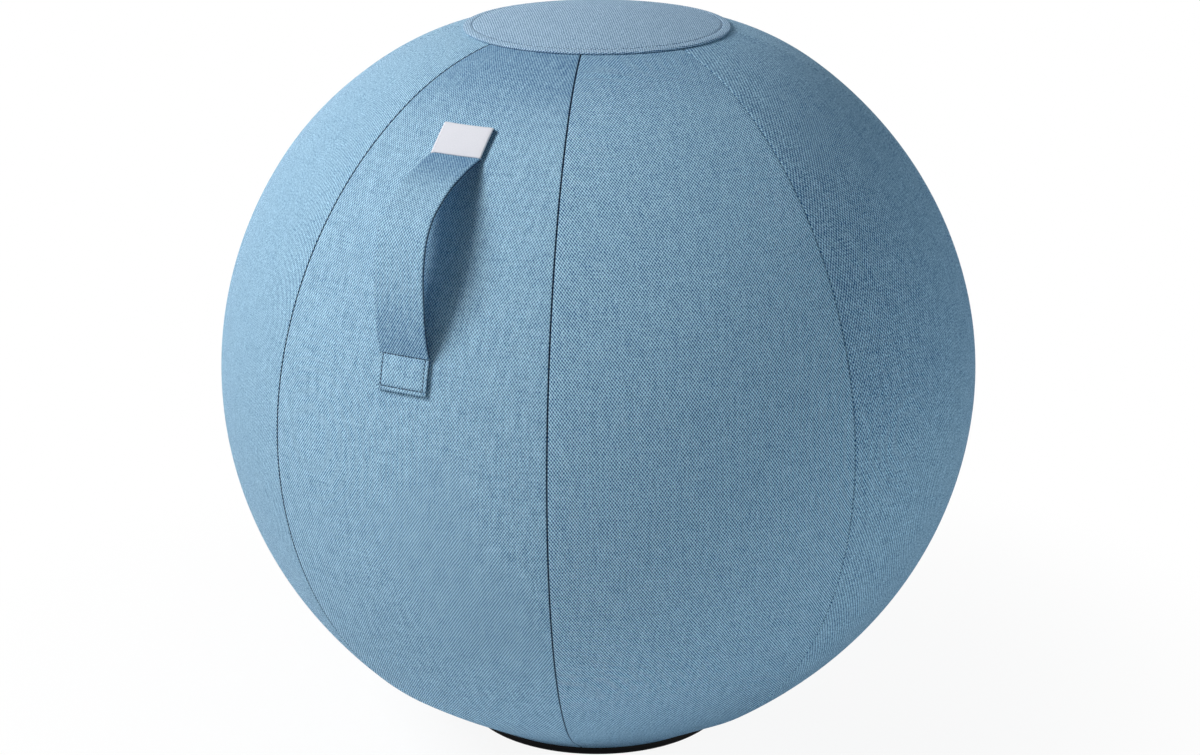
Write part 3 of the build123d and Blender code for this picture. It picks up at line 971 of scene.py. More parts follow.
@dataclass
class Cover:
    """The eight gores and the seams between them."""

    meridian: Meridian
    zip_place: ZipPlace
    finishes: list[Finish]
    seamstress: Seamstress
    front: float = -math.pi / 2
    middle_lift: float = -1.5 * MM
    seam_lift: float = 1.5 * MM
    seam_roll: float = 1.1 * MM
    seam_gap: float = 0.22 * MM
    seam_depth: float = 2.6 * MM
    cloth_thickness: float = 0.7 * MM
    stitch_pitch: float = 3.0 * MM
    stitch_depth: float = 1.0 * MM
    # Painted shade in each seam's groove, set per seam and weaker towards the base.
    seam_shades: tuple[float, ...] = (1.4, 0.5, 0.8, 1.2, 1.2, 1.2, 0.8, 1.6)
    seam_fade: float = 0.5
    fade_start: float = 50 * MM
    fade_end: float = 350 * MM
    roll_share: float = 2 / 3
    lift_from_hem: float = 120 * MM
    lift_to_crown: float = 600 * MM
    flat_top: float = 30 * MM
    stitch_slant: float = 0.5
    columns: int = 52
    rows: int = 150
    body_share: float = 40 / 52

    @property
    def half_angle(self) -> float:
        """Half of a gore's angle about the axis."""
        return math.pi / len(GORE_NAMES)

    def lift(self, distance: float, share: float, opened: float = 0.0) -> float:
        """How far the cloth stands off the round: flat between seams that are soft ridges.

        Args:
            distance: Length of cover from the base's rim.
            share: 0 at a gore's middle, -1 and 1 at its seams.
            opened: How far the zip's gap is open there.

        Returns:
            The distance outwards.
        """
        top = self.meridian.length - self.flat_top
        ends = smooth_step(0.0, self.lift_from_hem, distance)
        ends *= smooth_step(top, self.lift_to_crown, distance)
        seam = self.seam_lift * (1 - opened)
        return ends * (self.middle_lift + (seam - self.middle_lift) * share * share)

    def opening(self, index: int, side: int, distance: float) -> float:
        """How far a gore's edge stands back for the zip, from 0 to 1."""
        beside = (self.zip_place.seam, 1), (self.zip_place.seam + 1, -1)
        return self.zip_place.opening(self.meridian, distance) if (index, side) in beside else 0.0

    def on_front(self, across: float, distance: float) -> SurfacePoint:
        """A place on the front gore's cloth.

        Args:
            across: Distance to the right of the gore's middle.
            distance: Length of cover from the base's rim.

        Returns:
            The place and its directions.
        """
        radius = self.meridian.outline(distance)[0]
        angle = across / radius
        found = self.meridian.at(distance, self.front + angle)
        return replace(found, place=found.moved(out=self.lift(distance, angle / self.half_angle)))

    def point(self, index: int, across: float, along: float) -> SheetPoint:
        """A point of a gore: its body between the seams, or its edge rolled down into one.

        Args:
            index: The gore's number round the ball.
            across: -1 to 1 across it, with the rolled edges at the ends.
            along: -1 to 1 from the base to the seat disc.

        Returns:
            The point.
        """
        distance = (along + 1) / 2 * self.meridian.length
        turn = self.front + 2 * self.half_angle * index
        radius = self.meridian.outline(distance)[0]
        side = 1 if across > 0 else -1
        opened = self.opening(index, side, distance)
        inset = self.seam_gap + self.seam_roll + self.zip_place.gap * opened
        edge = self.half_angle - math.asin(inset / radius)
        share = min(abs(across) / self.body_share, 1.0)
        body = self.meridian.at(distance, turn + side * edge * share)
        lifted = body.moved(out=self.lift(distance, edge * share / self.half_angle, opened))
        cloth = side * radius * edge * share
        rolled = (abs(across) - self.body_share) / (1 - self.body_share)
        if rolled <= 0:
            return SheetPoint(lifted, (cloth, distance))
        fallen = max((rolled - self.roll_share) / (1 - self.roll_share), 0.0)
        bend = min(rolled / self.roll_share, 1.0) * math.pi / 2
        drop = fallen * (self.seam_depth - self.seam_roll)
        sideways = self.seam_roll * math.sin(bend) + self.seam_gap * fallen
        down = self.seam_roll * (1 - math.cos(bend)) + drop
        place = lifted + body.across * side * sideways - body.normal * down
        seam = (index if side > 0 else index - 1) % len(GORE_NAMES)
        # Painted shade in the groove: deeper in the roll, none where the zip opens, lighter towards
        # the base.
        clear = smooth_step(self.fade_start, self.fade_end, distance)
        fade = self.seam_fade + (1 - self.seam_fade) * clear
        groove_shade = rolled * (1 - opened) * self.seam_shades[seam] * fade
        return SheetPoint(place, (cloth + side * (self.seam_roll * bend + drop), distance), groove_shade)

    def build(self) -> None:
        for index, name in enumerate(GORE_NAMES):
            mesh = bent_sheet(self.columns, self.rows, lambda a, b: self.point(index, a, b))
            gore = finished(mesh, f"{name}_gore_cloth", self.finishes[index])
            thicken(standing_in(gore, f"{name}_gore"), self.cloth_thickness)
            self.flat()
            self.area()

    def flat(self) -> tuple[float, float]:
        """Width and length that a gore is cut to."""
        return 2 * self.half_angle * self.meridian.radius, self.meridian.length

    def area(self) -> float:
        """Flat area of a gore's cut."""
        step = self.meridian.length / self.rows
        widths = [self.meridian.outline(step * (row + 0.5))[0] for row in range(self.rows)]
        return 2 * self.half_angle * sum(widths) * step

    def sew_seams(self) -> None:
        """Sews the seams: rows of stitches that show across the groove between two gores."""
        count = int((self.meridian.length - self.meridian.disc_overlap) / self.stitch_pitch)
        for index in range(len(GORE_NAMES)):
            turn = self.front + self.half_angle * (2 * index + 1)
            row = []
            for number in range(count):
                distance = self.stitch_pitch * (number + 0.5)
                if self.opening(index, 1, distance) > 0:
                    continue
                point = self.meridian.at(distance, turn)
                depth = self.lift(distance, 1.0) - self.stitch_depth
                run = point.across + point.along * self.stitch_slant
                row.append(Stitch(point.moved(out=depth), run, point.normal))
            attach(self.seamstress.sew(f"seam_stitches_{index + 1}", row), "ball")


@dataclass
class SeatDisc:
    """The round disc sewn over the gores' upper ends, with a folded lip and a stitched groove."""

    meridian: Meridian
    finish: Finish
    seamstress: Seamstress
    cloth: float = 2.1 * MM
    lip_width: float = 7.5 * MM
    lip_height: float = 0.4 * MM
    edge_radius: float = 1.3 * MM
    groove_depth: float = 0.5 * MM
    groove_width: float = 1.1 * MM
    tuck: float = 9 * MM
    clearance: float = 0.1 * MM
    stitch_pitch: float = 3.2 * MM
    rim_width: float = 4 * MM
    steps: int = 192
    middle_steps: int = 36
    rim_steps: int = 26
    edge_steps: int = 10

    @property
    def groove(self) -> float:
        """Radius of the stitched groove."""
        return self.meridian.disc_radius - self.lip_width

    def height(self, radius: float) -> float:
        """Height of the disc's face.

        Args:
            radius: Distance from the axis.

        Returns:
            The height.
        """
        inside = (radius - self.groove) / (self.lip_width - self.edge_radius)
        lip = self.lip_height * math.sin(math.pi / 2 * min(max(inside, 0.0), 1.0))
        sunk = self.groove_depth * dip(radius - self.groove, self.groove_width)
        return self.meridian.crown_height(radius) + self.cloth + lip - sunk

    def outline(self) -> list[tuple[float, float]]:
        """The disc's section from its middle over the lip and in under it.

        Returns:
            Distance from the axis and height of each point.
        """
        edge = self.meridian.disc_radius - self.edge_radius
        start = self.groove - self.rim_width
        coarse = [start * step / self.middle_steps for step in range(self.middle_steps + 1)]
        fine = [
            start + (edge - start) * (step + 1) / self.rim_steps for step in range(self.rim_steps)
        ]
        points = [(radius, self.height(radius)) for radius in coarse + fine]
        top = points[-1][1]
        low = self.meridian.crown_height(edge) + self.clearance
        half = (top - low) / 2
        for step in range(1, self.edge_steps + 1):
            bend = math.pi * step / self.edge_steps
            out = self.edge_radius * math.sin(bend)
            points.append((edge + out, low + half + half * math.cos(bend)))
        inner = edge - self.tuck
        points.append((inner, self.meridian.crown_height(inner) + self.clearance))
        return points

    def build(self) -> None:
        """Makes the disc and its ring of stitches."""
        mesh = turned(self.outline(), self.steps)
        disc = standing_in(finished(mesh, "seat_disc_cloth", self.finish), "top_disc")
        width = 2 * self.meridian.disc_radius
        count = int(FULL_TURN * self.groove / self.stitch_pitch)
        row = []
        for number in range(count):
            turn = FULL_TURN * number / count
            radial = Vector((math.cos(turn), math.sin(turn), 0.0))
            run = Vector((-math.sin(turn), math.cos(turn), 0.0))
            place = radial * self.groove + UP * (self.height(self.groove) + self.clearance)
            row.append(Stitch(place, run, UP))
        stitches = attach(self.seamstress.sew("seat_disc_stitches", row), "ball")
        area = math.pi * self.meridian.disc_radius**2


# The carry strap


@dataclass(frozen=True)
class StrapSection:
    """Section of the folded strap: two layers with rounded sides and a groove where they meet."""

    width: float = 45 * MM
    thickness: float = 3.6 * MM
    groove_depth: float = 0.75 * MM
    groove_width: float = 0.34
    face_share: float = 0.34
    # Painted shade on the strap's rounded sides.
    side_shade: float = 0.7
    side_spread: float = 0.6
    columns: int = 60

    def at(self, around: float) -> tuple[float, float, float, float]:
        """A point of the section.

        Args:
            around: -1 to 1 round the section, from the face's left over its right and back.

        Returns:
            Its distances right and outwards, its place on the cloth and its painted shade.
        """
        half = self.thickness / 2
        flat = self.width / 2 - half
        side_share = 0.5 - self.face_share
        turn = (around + 1) / 2
        sign = 1
        if turn > 0.5:
            turn -= 0.5
            sign = -1
        if turn < self.face_share:
            across = flat * (2 * turn / self.face_share - 1)
            return sign * across, sign * half, across, 0.0
        bend = math.pi * ((turn - self.face_share) / side_share - 0.5)
        inset = dip(bend, self.groove_width)
        across = flat + half * math.cos(bend) - self.groove_depth * inset
        shade = self.side_shade * dip(bend, self.side_spread)
        cloth = flat + half * (bend + math.pi / 2)
        return sign * across, -sign * half * math.sin(bend), cloth, shade


@dataclass
class CarryStrap:
    """The carry strap: a loop in two halves, its two sewn ends and the label on the upper one."""

    cover: Cover
    finish: TwillFinish
    label_finish: Finish
    seamstress: Seamstress
    label_seamstress: Seamstress
    section: StrapSection = StrapSection()
    latitude: float = math.radians(32.3)
    loop_reach: float = 81 * MM
    end_length: float = 30 * MM
    rise: tuple[tuple[float, float], ...] = (
        (-68 * MM, 2 * MM),
        (-45 * MM, 18 * MM),
        (-21 * MM, 31 * MM),
        (8 * MM, 36.8 * MM),
        (35 * MM, 28 * MM),
        (64 * MM, 7 * MM),
    )
    sewn_aside: float = 2 * MM
    sewn_askew: float = 0.03
    sewn_gap: float = 0.1 * MM
    label_length: float = 29 * MM
    label_thickness: float = 0.9 * MM
    label_gap: float = 0.2 * MM
    label_corner: float = 0.8
    label_corner_drop: float = 1.2 * MM
    label_side: float = 0.9
    label_side_droop: float = 0.5 * MM
    label_end: float = 0.92
    label_end_droop: float = 0.25 * MM
    label_columns: int = 40
    label_rows: int = 28
    stitch_pitch: float = 3.1 * MM
    stitch_inset: float = 3.6 * MM
    stitch_sink: float = 0.6 * MM
    stitch_slant: float = 0.45
    side_stitch_share: float = 0.6
    box_margin: float = 1.44 * MM
    box_depth: float = 0.9 * MM
    box_width: float = 1.0 * MM
    # Painted shade in the groove that the box of stitches presses in.
    box_shade: float = 0.36
    # Painted shade near the strap's lower foot and under the label.
    lower_shade_band: ShadeBand = ShadeBand(0.07, 0.01, -0.14)
    upper_shade_band: ShadeBand = ShadeBand(0.04, 0.095, -0.22)
    line_steps: int = 12
    rows: int = 48

    @property
    def middle(self) -> float:
        """Distance along the cover from the base's rim to the handle's middle."""
        return self.cover.meridian.distance(self.latitude)

    @property
    def level(self) -> float:
        """Height of the strap's middle layer over the cover where it is sewn down."""
        return self.sewn_gap + self.section.thickness / 2

    @property
    def box(self) -> tuple[float, float, float]:
        """Half width of an end's box of stitches, and how far its rows are from the free end."""
        side = self.section.width / 2 - self.stitch_inset
        return side, self.stitch_inset, self.end_length - self.box_margin

    def aside(self, distance: float) -> float:
        """How far the strap lies to the right of the gore's middle; it is sewn on a bit askew."""
        return self.sewn_aside + self.sewn_askew * (self.middle - distance)

    def on_cover(self, across: float, distance: float) -> SurfacePoint:
        """A place on the cover, from the strap's middle to the right and from the base's rim up."""
        return self.cover.on_front(across + self.aside(distance), distance)

    def line(self) -> list[SurfacePoint]:
        """The loop's middle line from its lower foot to its upper one.

        Returns:
            Places along it with their directions.
        """
        outward = Vector((0.0, -math.cos(self.latitude), math.sin(self.latitude)))
        up = Vector((0.0, math.sin(self.latitude), math.cos(self.latitude)))
        right = up.cross(outward)
        origin = UP * self.cover.meridian.centre_height + outward * self.cover.meridian.radius
        low, high = (
            self.on_cover(0.0, self.middle + reach).moved(out=self.level)
            for reach in (-self.loop_reach, self.loop_reach)
        )
        raised = [
            origin + up * along + outward * out + right * self.aside(self.middle + along)
            for along, out in self.rise
        ]
        points = smooth_line([low, *raised, high], self.line_steps)
        frames = []
        for number, place in enumerate(points):
            before = points[max(number - 1, 0)]
            after = points[min(number + 1, len(points) - 1)]
            along = (after - before).normalized()
            frames.append(SurfacePoint(place, right.cross(along).normalized(), along, right))
        return frames

    def loop_point(self, frames: list[SurfacePoint], around: float, along: float) -> SheetPoint:
        """A point of the loop's skin.

        Args:
            frames: The stretch of the middle line.
            around: -1 to 1 round the strap's section.
            along: -1 to 1 along the stretch.

        Returns:
            The point.
        """
        across, out, cloth, fold = self.section.at(around)
        passed = frames[: round((along + 1) / 2 * (len(frames) - 1)) + 1]
        place = passed[-1].moved(across=across, out=out)
        return SheetPoint(place, (cloth, run_length(passed)), fold)

    def half(
        self, name: str, frames: list[SurfacePoint], node: str, foot: SurfacePoint, shade_band: ShadeBand
    ) -> None:
        """One half of the loop, with the stitches in its sides, in place of its CAD strip.

        Args:
            name: The half's name.
            frames: Its stretch of the middle line.
            node: The strip that it stands for.
            foot: Its end on the ball.
            shade_band: Painted shade that changes its tone from its lower end to its upper one.
        """
        mesh = bent_sheet(
            self.section.columns, len(frames) - 1, lambda a, b: self.loop_point(frames, a, b)
        )
        closed(mesh)
        half = finished(mesh, name, replace(self.finish, name=f"{name}_twill", shade_bands=(shade_band,)))
        crest = max(frames, key=lambda frame: (frame.place - foot.place).length)
        stitches = self.edge_stitches(f"{name}_edge_stitches", frames)
        for piece in (half, stitches):
            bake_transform(piece)
        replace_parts(half, node)
        flat = (self.section.width, run_length(frames))

    def edge_stitches(self, name: str, frames: list[SurfacePoint]) -> bpy.types.Object:
        """Stitches in the grooves of both sides of a stretch of strap.

        Args:
            name: The row's name.
            frames: The stretch of the middle line.

        Returns:
            The stitches.
        """
        row = []
        travelled = 0.0
        side = self.section.width / 2 - self.section.groove_depth * self.side_stitch_share
        for before, after in zip(frames, frames[1:]):
            travelled += (after.place - before.place).length
            if travelled < self.stitch_pitch:
                continue
            travelled -= self.stitch_pitch
            for sign in (-1, 1):
                run = after.normal + after.along * self.stitch_slant
                row.append(Stitch(after.moved(across=sign * side), run, after.across * sign))
        return self.seamstress.sew(name, row)

    def end_frames(self, low: float) -> list[SurfacePoint]:
        """Middle line of a sewn end.

        Args:
            low: Where the end starts along the cover.

        Returns:
            Places up the cover with their directions.
        """
        frames = []
        for row in range(self.rows + 1):
            point = self.on_cover(0.0, low + self.end_length * row / self.rows)
            frames.append(replace(point, place=point.moved(out=self.level)))
        return frames

    def end_point(self, low: float, free: int, around: float, along: float) -> SheetPoint:
        """A point of a sewn end, which follows the ball across its width and thins at its free end.

        Args:
            low: Where the end starts along the cover.
            free: -1 if its free end is the lower one, 1 if it is the upper one.
            around: -1 to 1 round the strap's section.
            along: -1 to 1 up the cover.

        Returns:
            The point.
        """
        across, out, cloth, fold = self.section.at(around)
        distance = low + self.end_length * (along + 1) / 2
        half = self.section.thickness / 2
        left = (1 - free * along) * self.end_length / 2
        if left < half:
            out *= math.sqrt(max(1 - (1 - left / half) ** 2, 0.0))
        surface = self.on_cover(across, distance)
        # The box groove also gets painted shade.
        pressed = self.box_groove(across, left) if out > 0 else 0.0
        place = surface.moved(out=self.level + out - self.box_depth * pressed)
        return SheetPoint(place, (cloth, distance), max(fold, self.box_shade * pressed))

    def box_groove(self, across: float, left: float) -> float:
        """How deep the box of stitches presses the end's face.

        Args:
            across: Distance to the right of the strap's middle.
            left: Distance to the free end.

        Returns:
            The share of the full depth.
        """
        side, near, far = self.box
        gap = min(abs(abs(across) - side), abs(left - near), abs(left - far))
        return dip(gap, self.box_width)

    def end(self, name: str, low: float, free: int) -> None:
        """A sewn end with its box of stitches and the stitches in its sides.

        Args:
            name: The end's node.
            low: Where it starts along the cover.
            free: -1 if its free end is the lower one, 1 if it is the upper one.
        """
        mesh = bent_sheet(
            2 * self.section.columns, self.rows, lambda a, b: self.end_point(low, free, a, b)
        )
        closed(mesh)
        end = standing_in(finished(mesh, f"{name}_cloth", self.finish), name)
        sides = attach(self.edge_stitches(f"{name}_edge_stitches", self.end_frames(low)), "ball")
        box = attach(self.seamstress.sew(f"{name}_box_stitches", self.box_row(low, free)), "ball")

    def box_row(self, low: float, free: int) -> list[Stitch]:
        """The box of stitches on a sewn end.

        Args:
            low: Where the end starts along the cover.
            free: -1 if its free end is the lower one, 1 if it is the upper one.

        Returns:
            The stitches.
        """
        side, near, far = self.box
        corners = [(-side, far), (-side, near), (side, near), (side, far), (-side, far)]
        row = []
        for (x0, y0), (x1, y1) in zip(corners, corners[1:]):
            count = round(math.hypot(x1 - x0, y1 - y0) / self.stitch_pitch)
            for number in range(count):
                share = (number + 0.5) / count
                across = x0 + (x1 - x0) * share
                left = y0 + (y1 - y0) * share
                distance = low + (left if free < 0 else self.end_length - left)
                point = self.on_cover(across, distance)
                run = point.across * (x1 - x0) - point.along * free * (y1 - y0)
                top = self.level + self.section.thickness / 2 - self.stitch_sink
                row.append(Stitch(point.moved(out=top), run, point.normal))
        return row

    def label_point(self, across: float, along: float) -> SheetPoint:
        """A point of the label, which lies over the strap's upper end and droops at its sides.

        Args:
            across: -1 to 1 from left to right.
            along: -1 to 1 up the cover; the lower left corner hangs a little.

        Returns:
            The point.
        """
        sideways = across * (self.section.width / 2 - self.label_gap)
        start = self.middle + self.loop_reach + self.label_gap
        distance = start + self.label_length * (along + 1) / 2
        corner = max(-across - self.label_corner, 0.0) * max(-along - self.label_corner, 0.0)
        hang = self.label_corner_drop * corner / (1 - self.label_corner) ** 2
        point = self.on_cover(sideways, distance - hang)
        droop = self.label_side_droop * smooth_step(self.label_side, 1.0, abs(across))
        droop += self.label_end_droop * smooth_step(self.label_end, 1.0, abs(along))
        top = self.sewn_gap * 2 + self.section.thickness + self.label_thickness - droop
        return SheetPoint(point.moved(out=top), (sideways, distance))

    def label(self) -> None:
        """The bare white label with a row of stitches beside its left edge."""
        mesh = bent_sheet(self.label_columns, self.label_rows, self.label_point)
        label = standing_in(finished(mesh, "label_cloth", self.label_finish), "label")
        thicken(label, self.label_thickness)
        count = round(self.label_length / self.stitch_pitch)
        row = []
        for number in range(count):
            along = 2 * (number + 0.5) / count - 1
            place = self.label_point(-self.label_side, along).place
            point = self.on_cover(0.0, self.middle + self.loop_reach)
            row.append(Stitch(place, point.along, point.normal))
        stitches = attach(self.label_seamstress.sew("label_stitches", row), "ball")

    def build(self) -> None:
        """Makes the strap's halves, ends and label."""
        frames = self.line()
        half = len(frames) // 2
        lower, upper = frames[: half + 1], frames[half:]
        self.half("strap_lower_half", lower, "handle_lining", lower[0], self.lower_shade_band)
        self.half("strap_upper_half", upper, "handle_face", upper[-1], self.upper_shade_band)
        self.end("handle_lower_end", self.middle - self.loop_reach - self.end_length, -1)
        self.end("handle_upper_end", self.middle + self.loop_reach, 1)
        self.label()


# Base, zip and inner parts


@dataclass
class Base:
    """The black base: a flat bottom, a low rounded wall and a bead along its rim."""

    meridian: Meridian
    finish: Finish
    edge_rounding: float = 4 * MM
    thickness: float = 1.6 * MM
    bead: float = 1.0 * MM
    bead_share: float = 0.8
    steps: int = 160
    floor_steps: int = 12
    bend_steps: int = 8

    def outline(self) -> list[tuple[float, float]]:
        """The base's section from its middle out, up the wall, over the bead and back inside.

        Returns:
            Distance from the axis and height of each point.
        """
        radius, height = self.meridian.rim_radius, self.meridian.rim_height
        rounding = self.edge_rounding
        flat = (radius - rounding) / self.floor_steps
        points = [(flat * step, 0.0) for step in range(self.floor_steps + 1)]
        for step in range(1, self.bend_steps + 1):
            bend = math.pi / 2 * step / self.bend_steps
            inset = rounding * (1 - math.sin(bend))
            points.append((radius - inset, rounding * (1 - math.cos(bend))))
        for step in range(self.bend_steps + 1):
            bend = math.pi * (step / self.bend_steps - 0.5)
            reach = self.bead * self.bead_share * math.cos(bend)
            points.append((radius + reach, height + self.bead * math.sin(bend)))
        inside, low = radius - self.thickness, self.thickness
        return points + [(inside, height), (inside, 2 * low), (inside - low, low), (0.0, low)]

    def build(self) -> None:
        """Makes the base."""
        mesh = turned(self.outline(), self.steps)
        base = standing_in(finished(mesh, "base_cloth", self.finish), "base_cup")
        width = 2 * self.meridian.rim_radius
        area = math.pi * self.meridian.rim_radius**2


@dataclass
class Zip:
    """The zip in a rear seam: woven tapes, teeth, stops, a slider and its pull."""

    cover: Cover
    place: ZipPlace
    nodes: dict[str, bpy.types.Object]
    tape_finish: Finish
    teeth_finish: Finish
    metal_finish: Finish
    tooth_root: float = 1.4 * MM
    tooth_hook: float = 0.7 * MM
    slit: float = 0.15 * MM
    wedge: float = 0.86 * MM
    web: float = 0.1 * MM
    channel: float = 1.5 * MM
    tape_columns: int = 8
    tape_rows: int = 120

    @property
    def turn(self) -> float:
        """Angle of the zip's seam about the ball's axis."""
        return self.cover.front + self.cover.half_angle * (2 * self.place.seam + 1)

    def tape_point(self, side: int, across: float, along: float) -> SheetPoint:
        """A point of a tape.

        Args:
            side: -1 for the right tape, 1 for the left one.
            across: -1 to 1 from left to right, seen from outside.
            along: -1 to 1 up the seam.

        Returns:
            The point.
        """
        meridian = self.cover.meridian
        low = meridian.distance(self.place.bottom_latitude) - self.place.tape_tail
        high = meridian.distance(self.place.top_latitude) + self.place.tape_tail
        distance = low + (high - low) * (along + 1) / 2
        share = (1 + side * across) / 2
        near, far = self.place.tape_near, self.place.tape_far
        sideways = side * (near + (far - near) * share)
        depth = self.place.chain_depth - self.place.tape_thickness / 2
        point = meridian.at(distance, self.turn)
        return SheetPoint(point.moved(across=sideways, out=-depth), (sideways, distance))

    def eased(
        self, node: str, body: str, finish: Finish, ease: Callable[[float, float], float]
    ) -> None:
        """Makes a copy of a CAD piece that lets the slider run along the closed chain.

        Args:
            node: The piece's node.
            body: The body that it rides on.
            finish: Its finish.
            ease: A point's new distance from the seam, for its old one and its height
                over the chain.
        """
        meridian = self.cover.meridian
        across = meridian.at(0.0, self.turn).across
        centre = UP * meridian.centre_height
        chain = meridian.radius - self.place.chain_depth
        data = self.nodes[node].data.copy()
        for vert in data.vertices:
            aside = vert.co.dot(across)
            height = (vert.co - centre).length - chain
            vert.co += across * (ease(aside, height) - aside)
        standing_in(shown(data, f"{node}_shape", finish), node, body)

    def tooth_ease(self, side: int) -> Callable[[float, float], float]:
        """Draws a row's hooked heads back to their own side of a fine slit.

        Args:
            side: 1 for the right row, seen from outside, and -1 for the left one.

        Returns:
            The way that the row's points move.
        """

        def eased(aside: float, height: float) -> float:
            """Moves a point of a head, and leaves the root.

            Args:
                aside: The point's distance from the seam.
                height: Its height over the chain, which makes no difference here.

            Returns:
                Its new distance from the seam.
            """
            reach = side * aside
            if reach > self.tooth_root:
                return aside
            share = (reach + self.tooth_hook) / (self.tooth_root + self.tooth_hook)
            return side * (self.slit + (self.tooth_root - self.slit) * share)

        return eased

    def wedge_ease(self, aside: float, height: float) -> float:
        """Thins the slider's wedge to a web that runs in the slit."""
        inside = abs(aside) < self.wedge and abs(height) < self.channel
        return aside * self.web / self.wedge if inside else aside

    def build(self) -> None:
        """Makes the tapes, eases the chain and slider, and dresses the stops and the pull."""
        for name, side in (("zip_tape_right", -1), ("zip_tape_left", 1)):
            mesh = bent_sheet(
                self.tape_columns, self.tape_rows, lambda a, b: self.tape_point(side, a, b)
            )
            tape = standing_in(finished(mesh, f"{name}_cloth", self.tape_finish), name)
            thicken(tape, self.place.tape_thickness)
            arc = self.place.top_latitude - self.place.bottom_latitude
            length = self.cover.meridian.radius * arc
            length + 2 * self.place.tape_tail
        self.eased("zip_teeth_right", "ball", self.teeth_finish, self.tooth_ease(1))
        self.eased("zip_teeth_left", "ball", self.teeth_finish, self.tooth_ease(-1))
        self.eased("zip_slider", "slider", self.metal_finish, self.wedge_ease)
        for name in ("zip_top_stops", "zip_bottom_stop"):
            dress(self.nodes[name], self.teeth_finish)
        dress(self.nodes["zip_pull"], self.metal_finish)


def dress(node: bpy.types.Object, finish: Finish) -> None:
    """Gives a CAD node its finish.

    Args:
        node: The node.
        finish: Its finish.
    """
    node.data.materials.clear()
    node.data.materials.append(finish.material())
    LOG.info("%s: CAD shape, %s", node.name, finish.name)


# Light and camera


def heading(azimuth: float, elevation: float) -> Vector:
    """A direction from the ball.

    Args:
        azimuth: Degrees round the ball from its front.
        elevation: Degrees above the level.

    Returns:
        The direction.
    """
    turn, slope = math.radians(azimuth), math.radians(elevation)
    level = math.cos(slope)
    return Vector((math.sin(turn) * level, -math.cos(turn) * level, math.sin(slope)))


@dataclass(frozen=True)
class Lamp:
    """A soft lamp: its heading in degrees, distance, side and how bright it makes a white face.

    A fill lamp has a slightly cool tint, as light that comes back from a studio's far walls has.
    """

    name: str
    azimuth: float
    elevation: float
    distance: float
    size: float
    light: float
    tint: tuple[float, float, float] = (1.0, 1.0, 1.0)


COOL = (0.82, 0.97, 1.06)
LAMPS = (
    Lamp("key", -36, 42, 2.2, 0.8, 0.84),
    Lamp("side", -125, 15, 2.4, 1.2, 0.38),
    Lamp("low", 55, -5, 2.0, 0.3, 0.11, COOL),
    Lamp("right", 112, 25, 2.4, 1.0, 0.18, COOL),
    Lamp("top", -100, 78, 2.4, 0.9, 0.08),
)


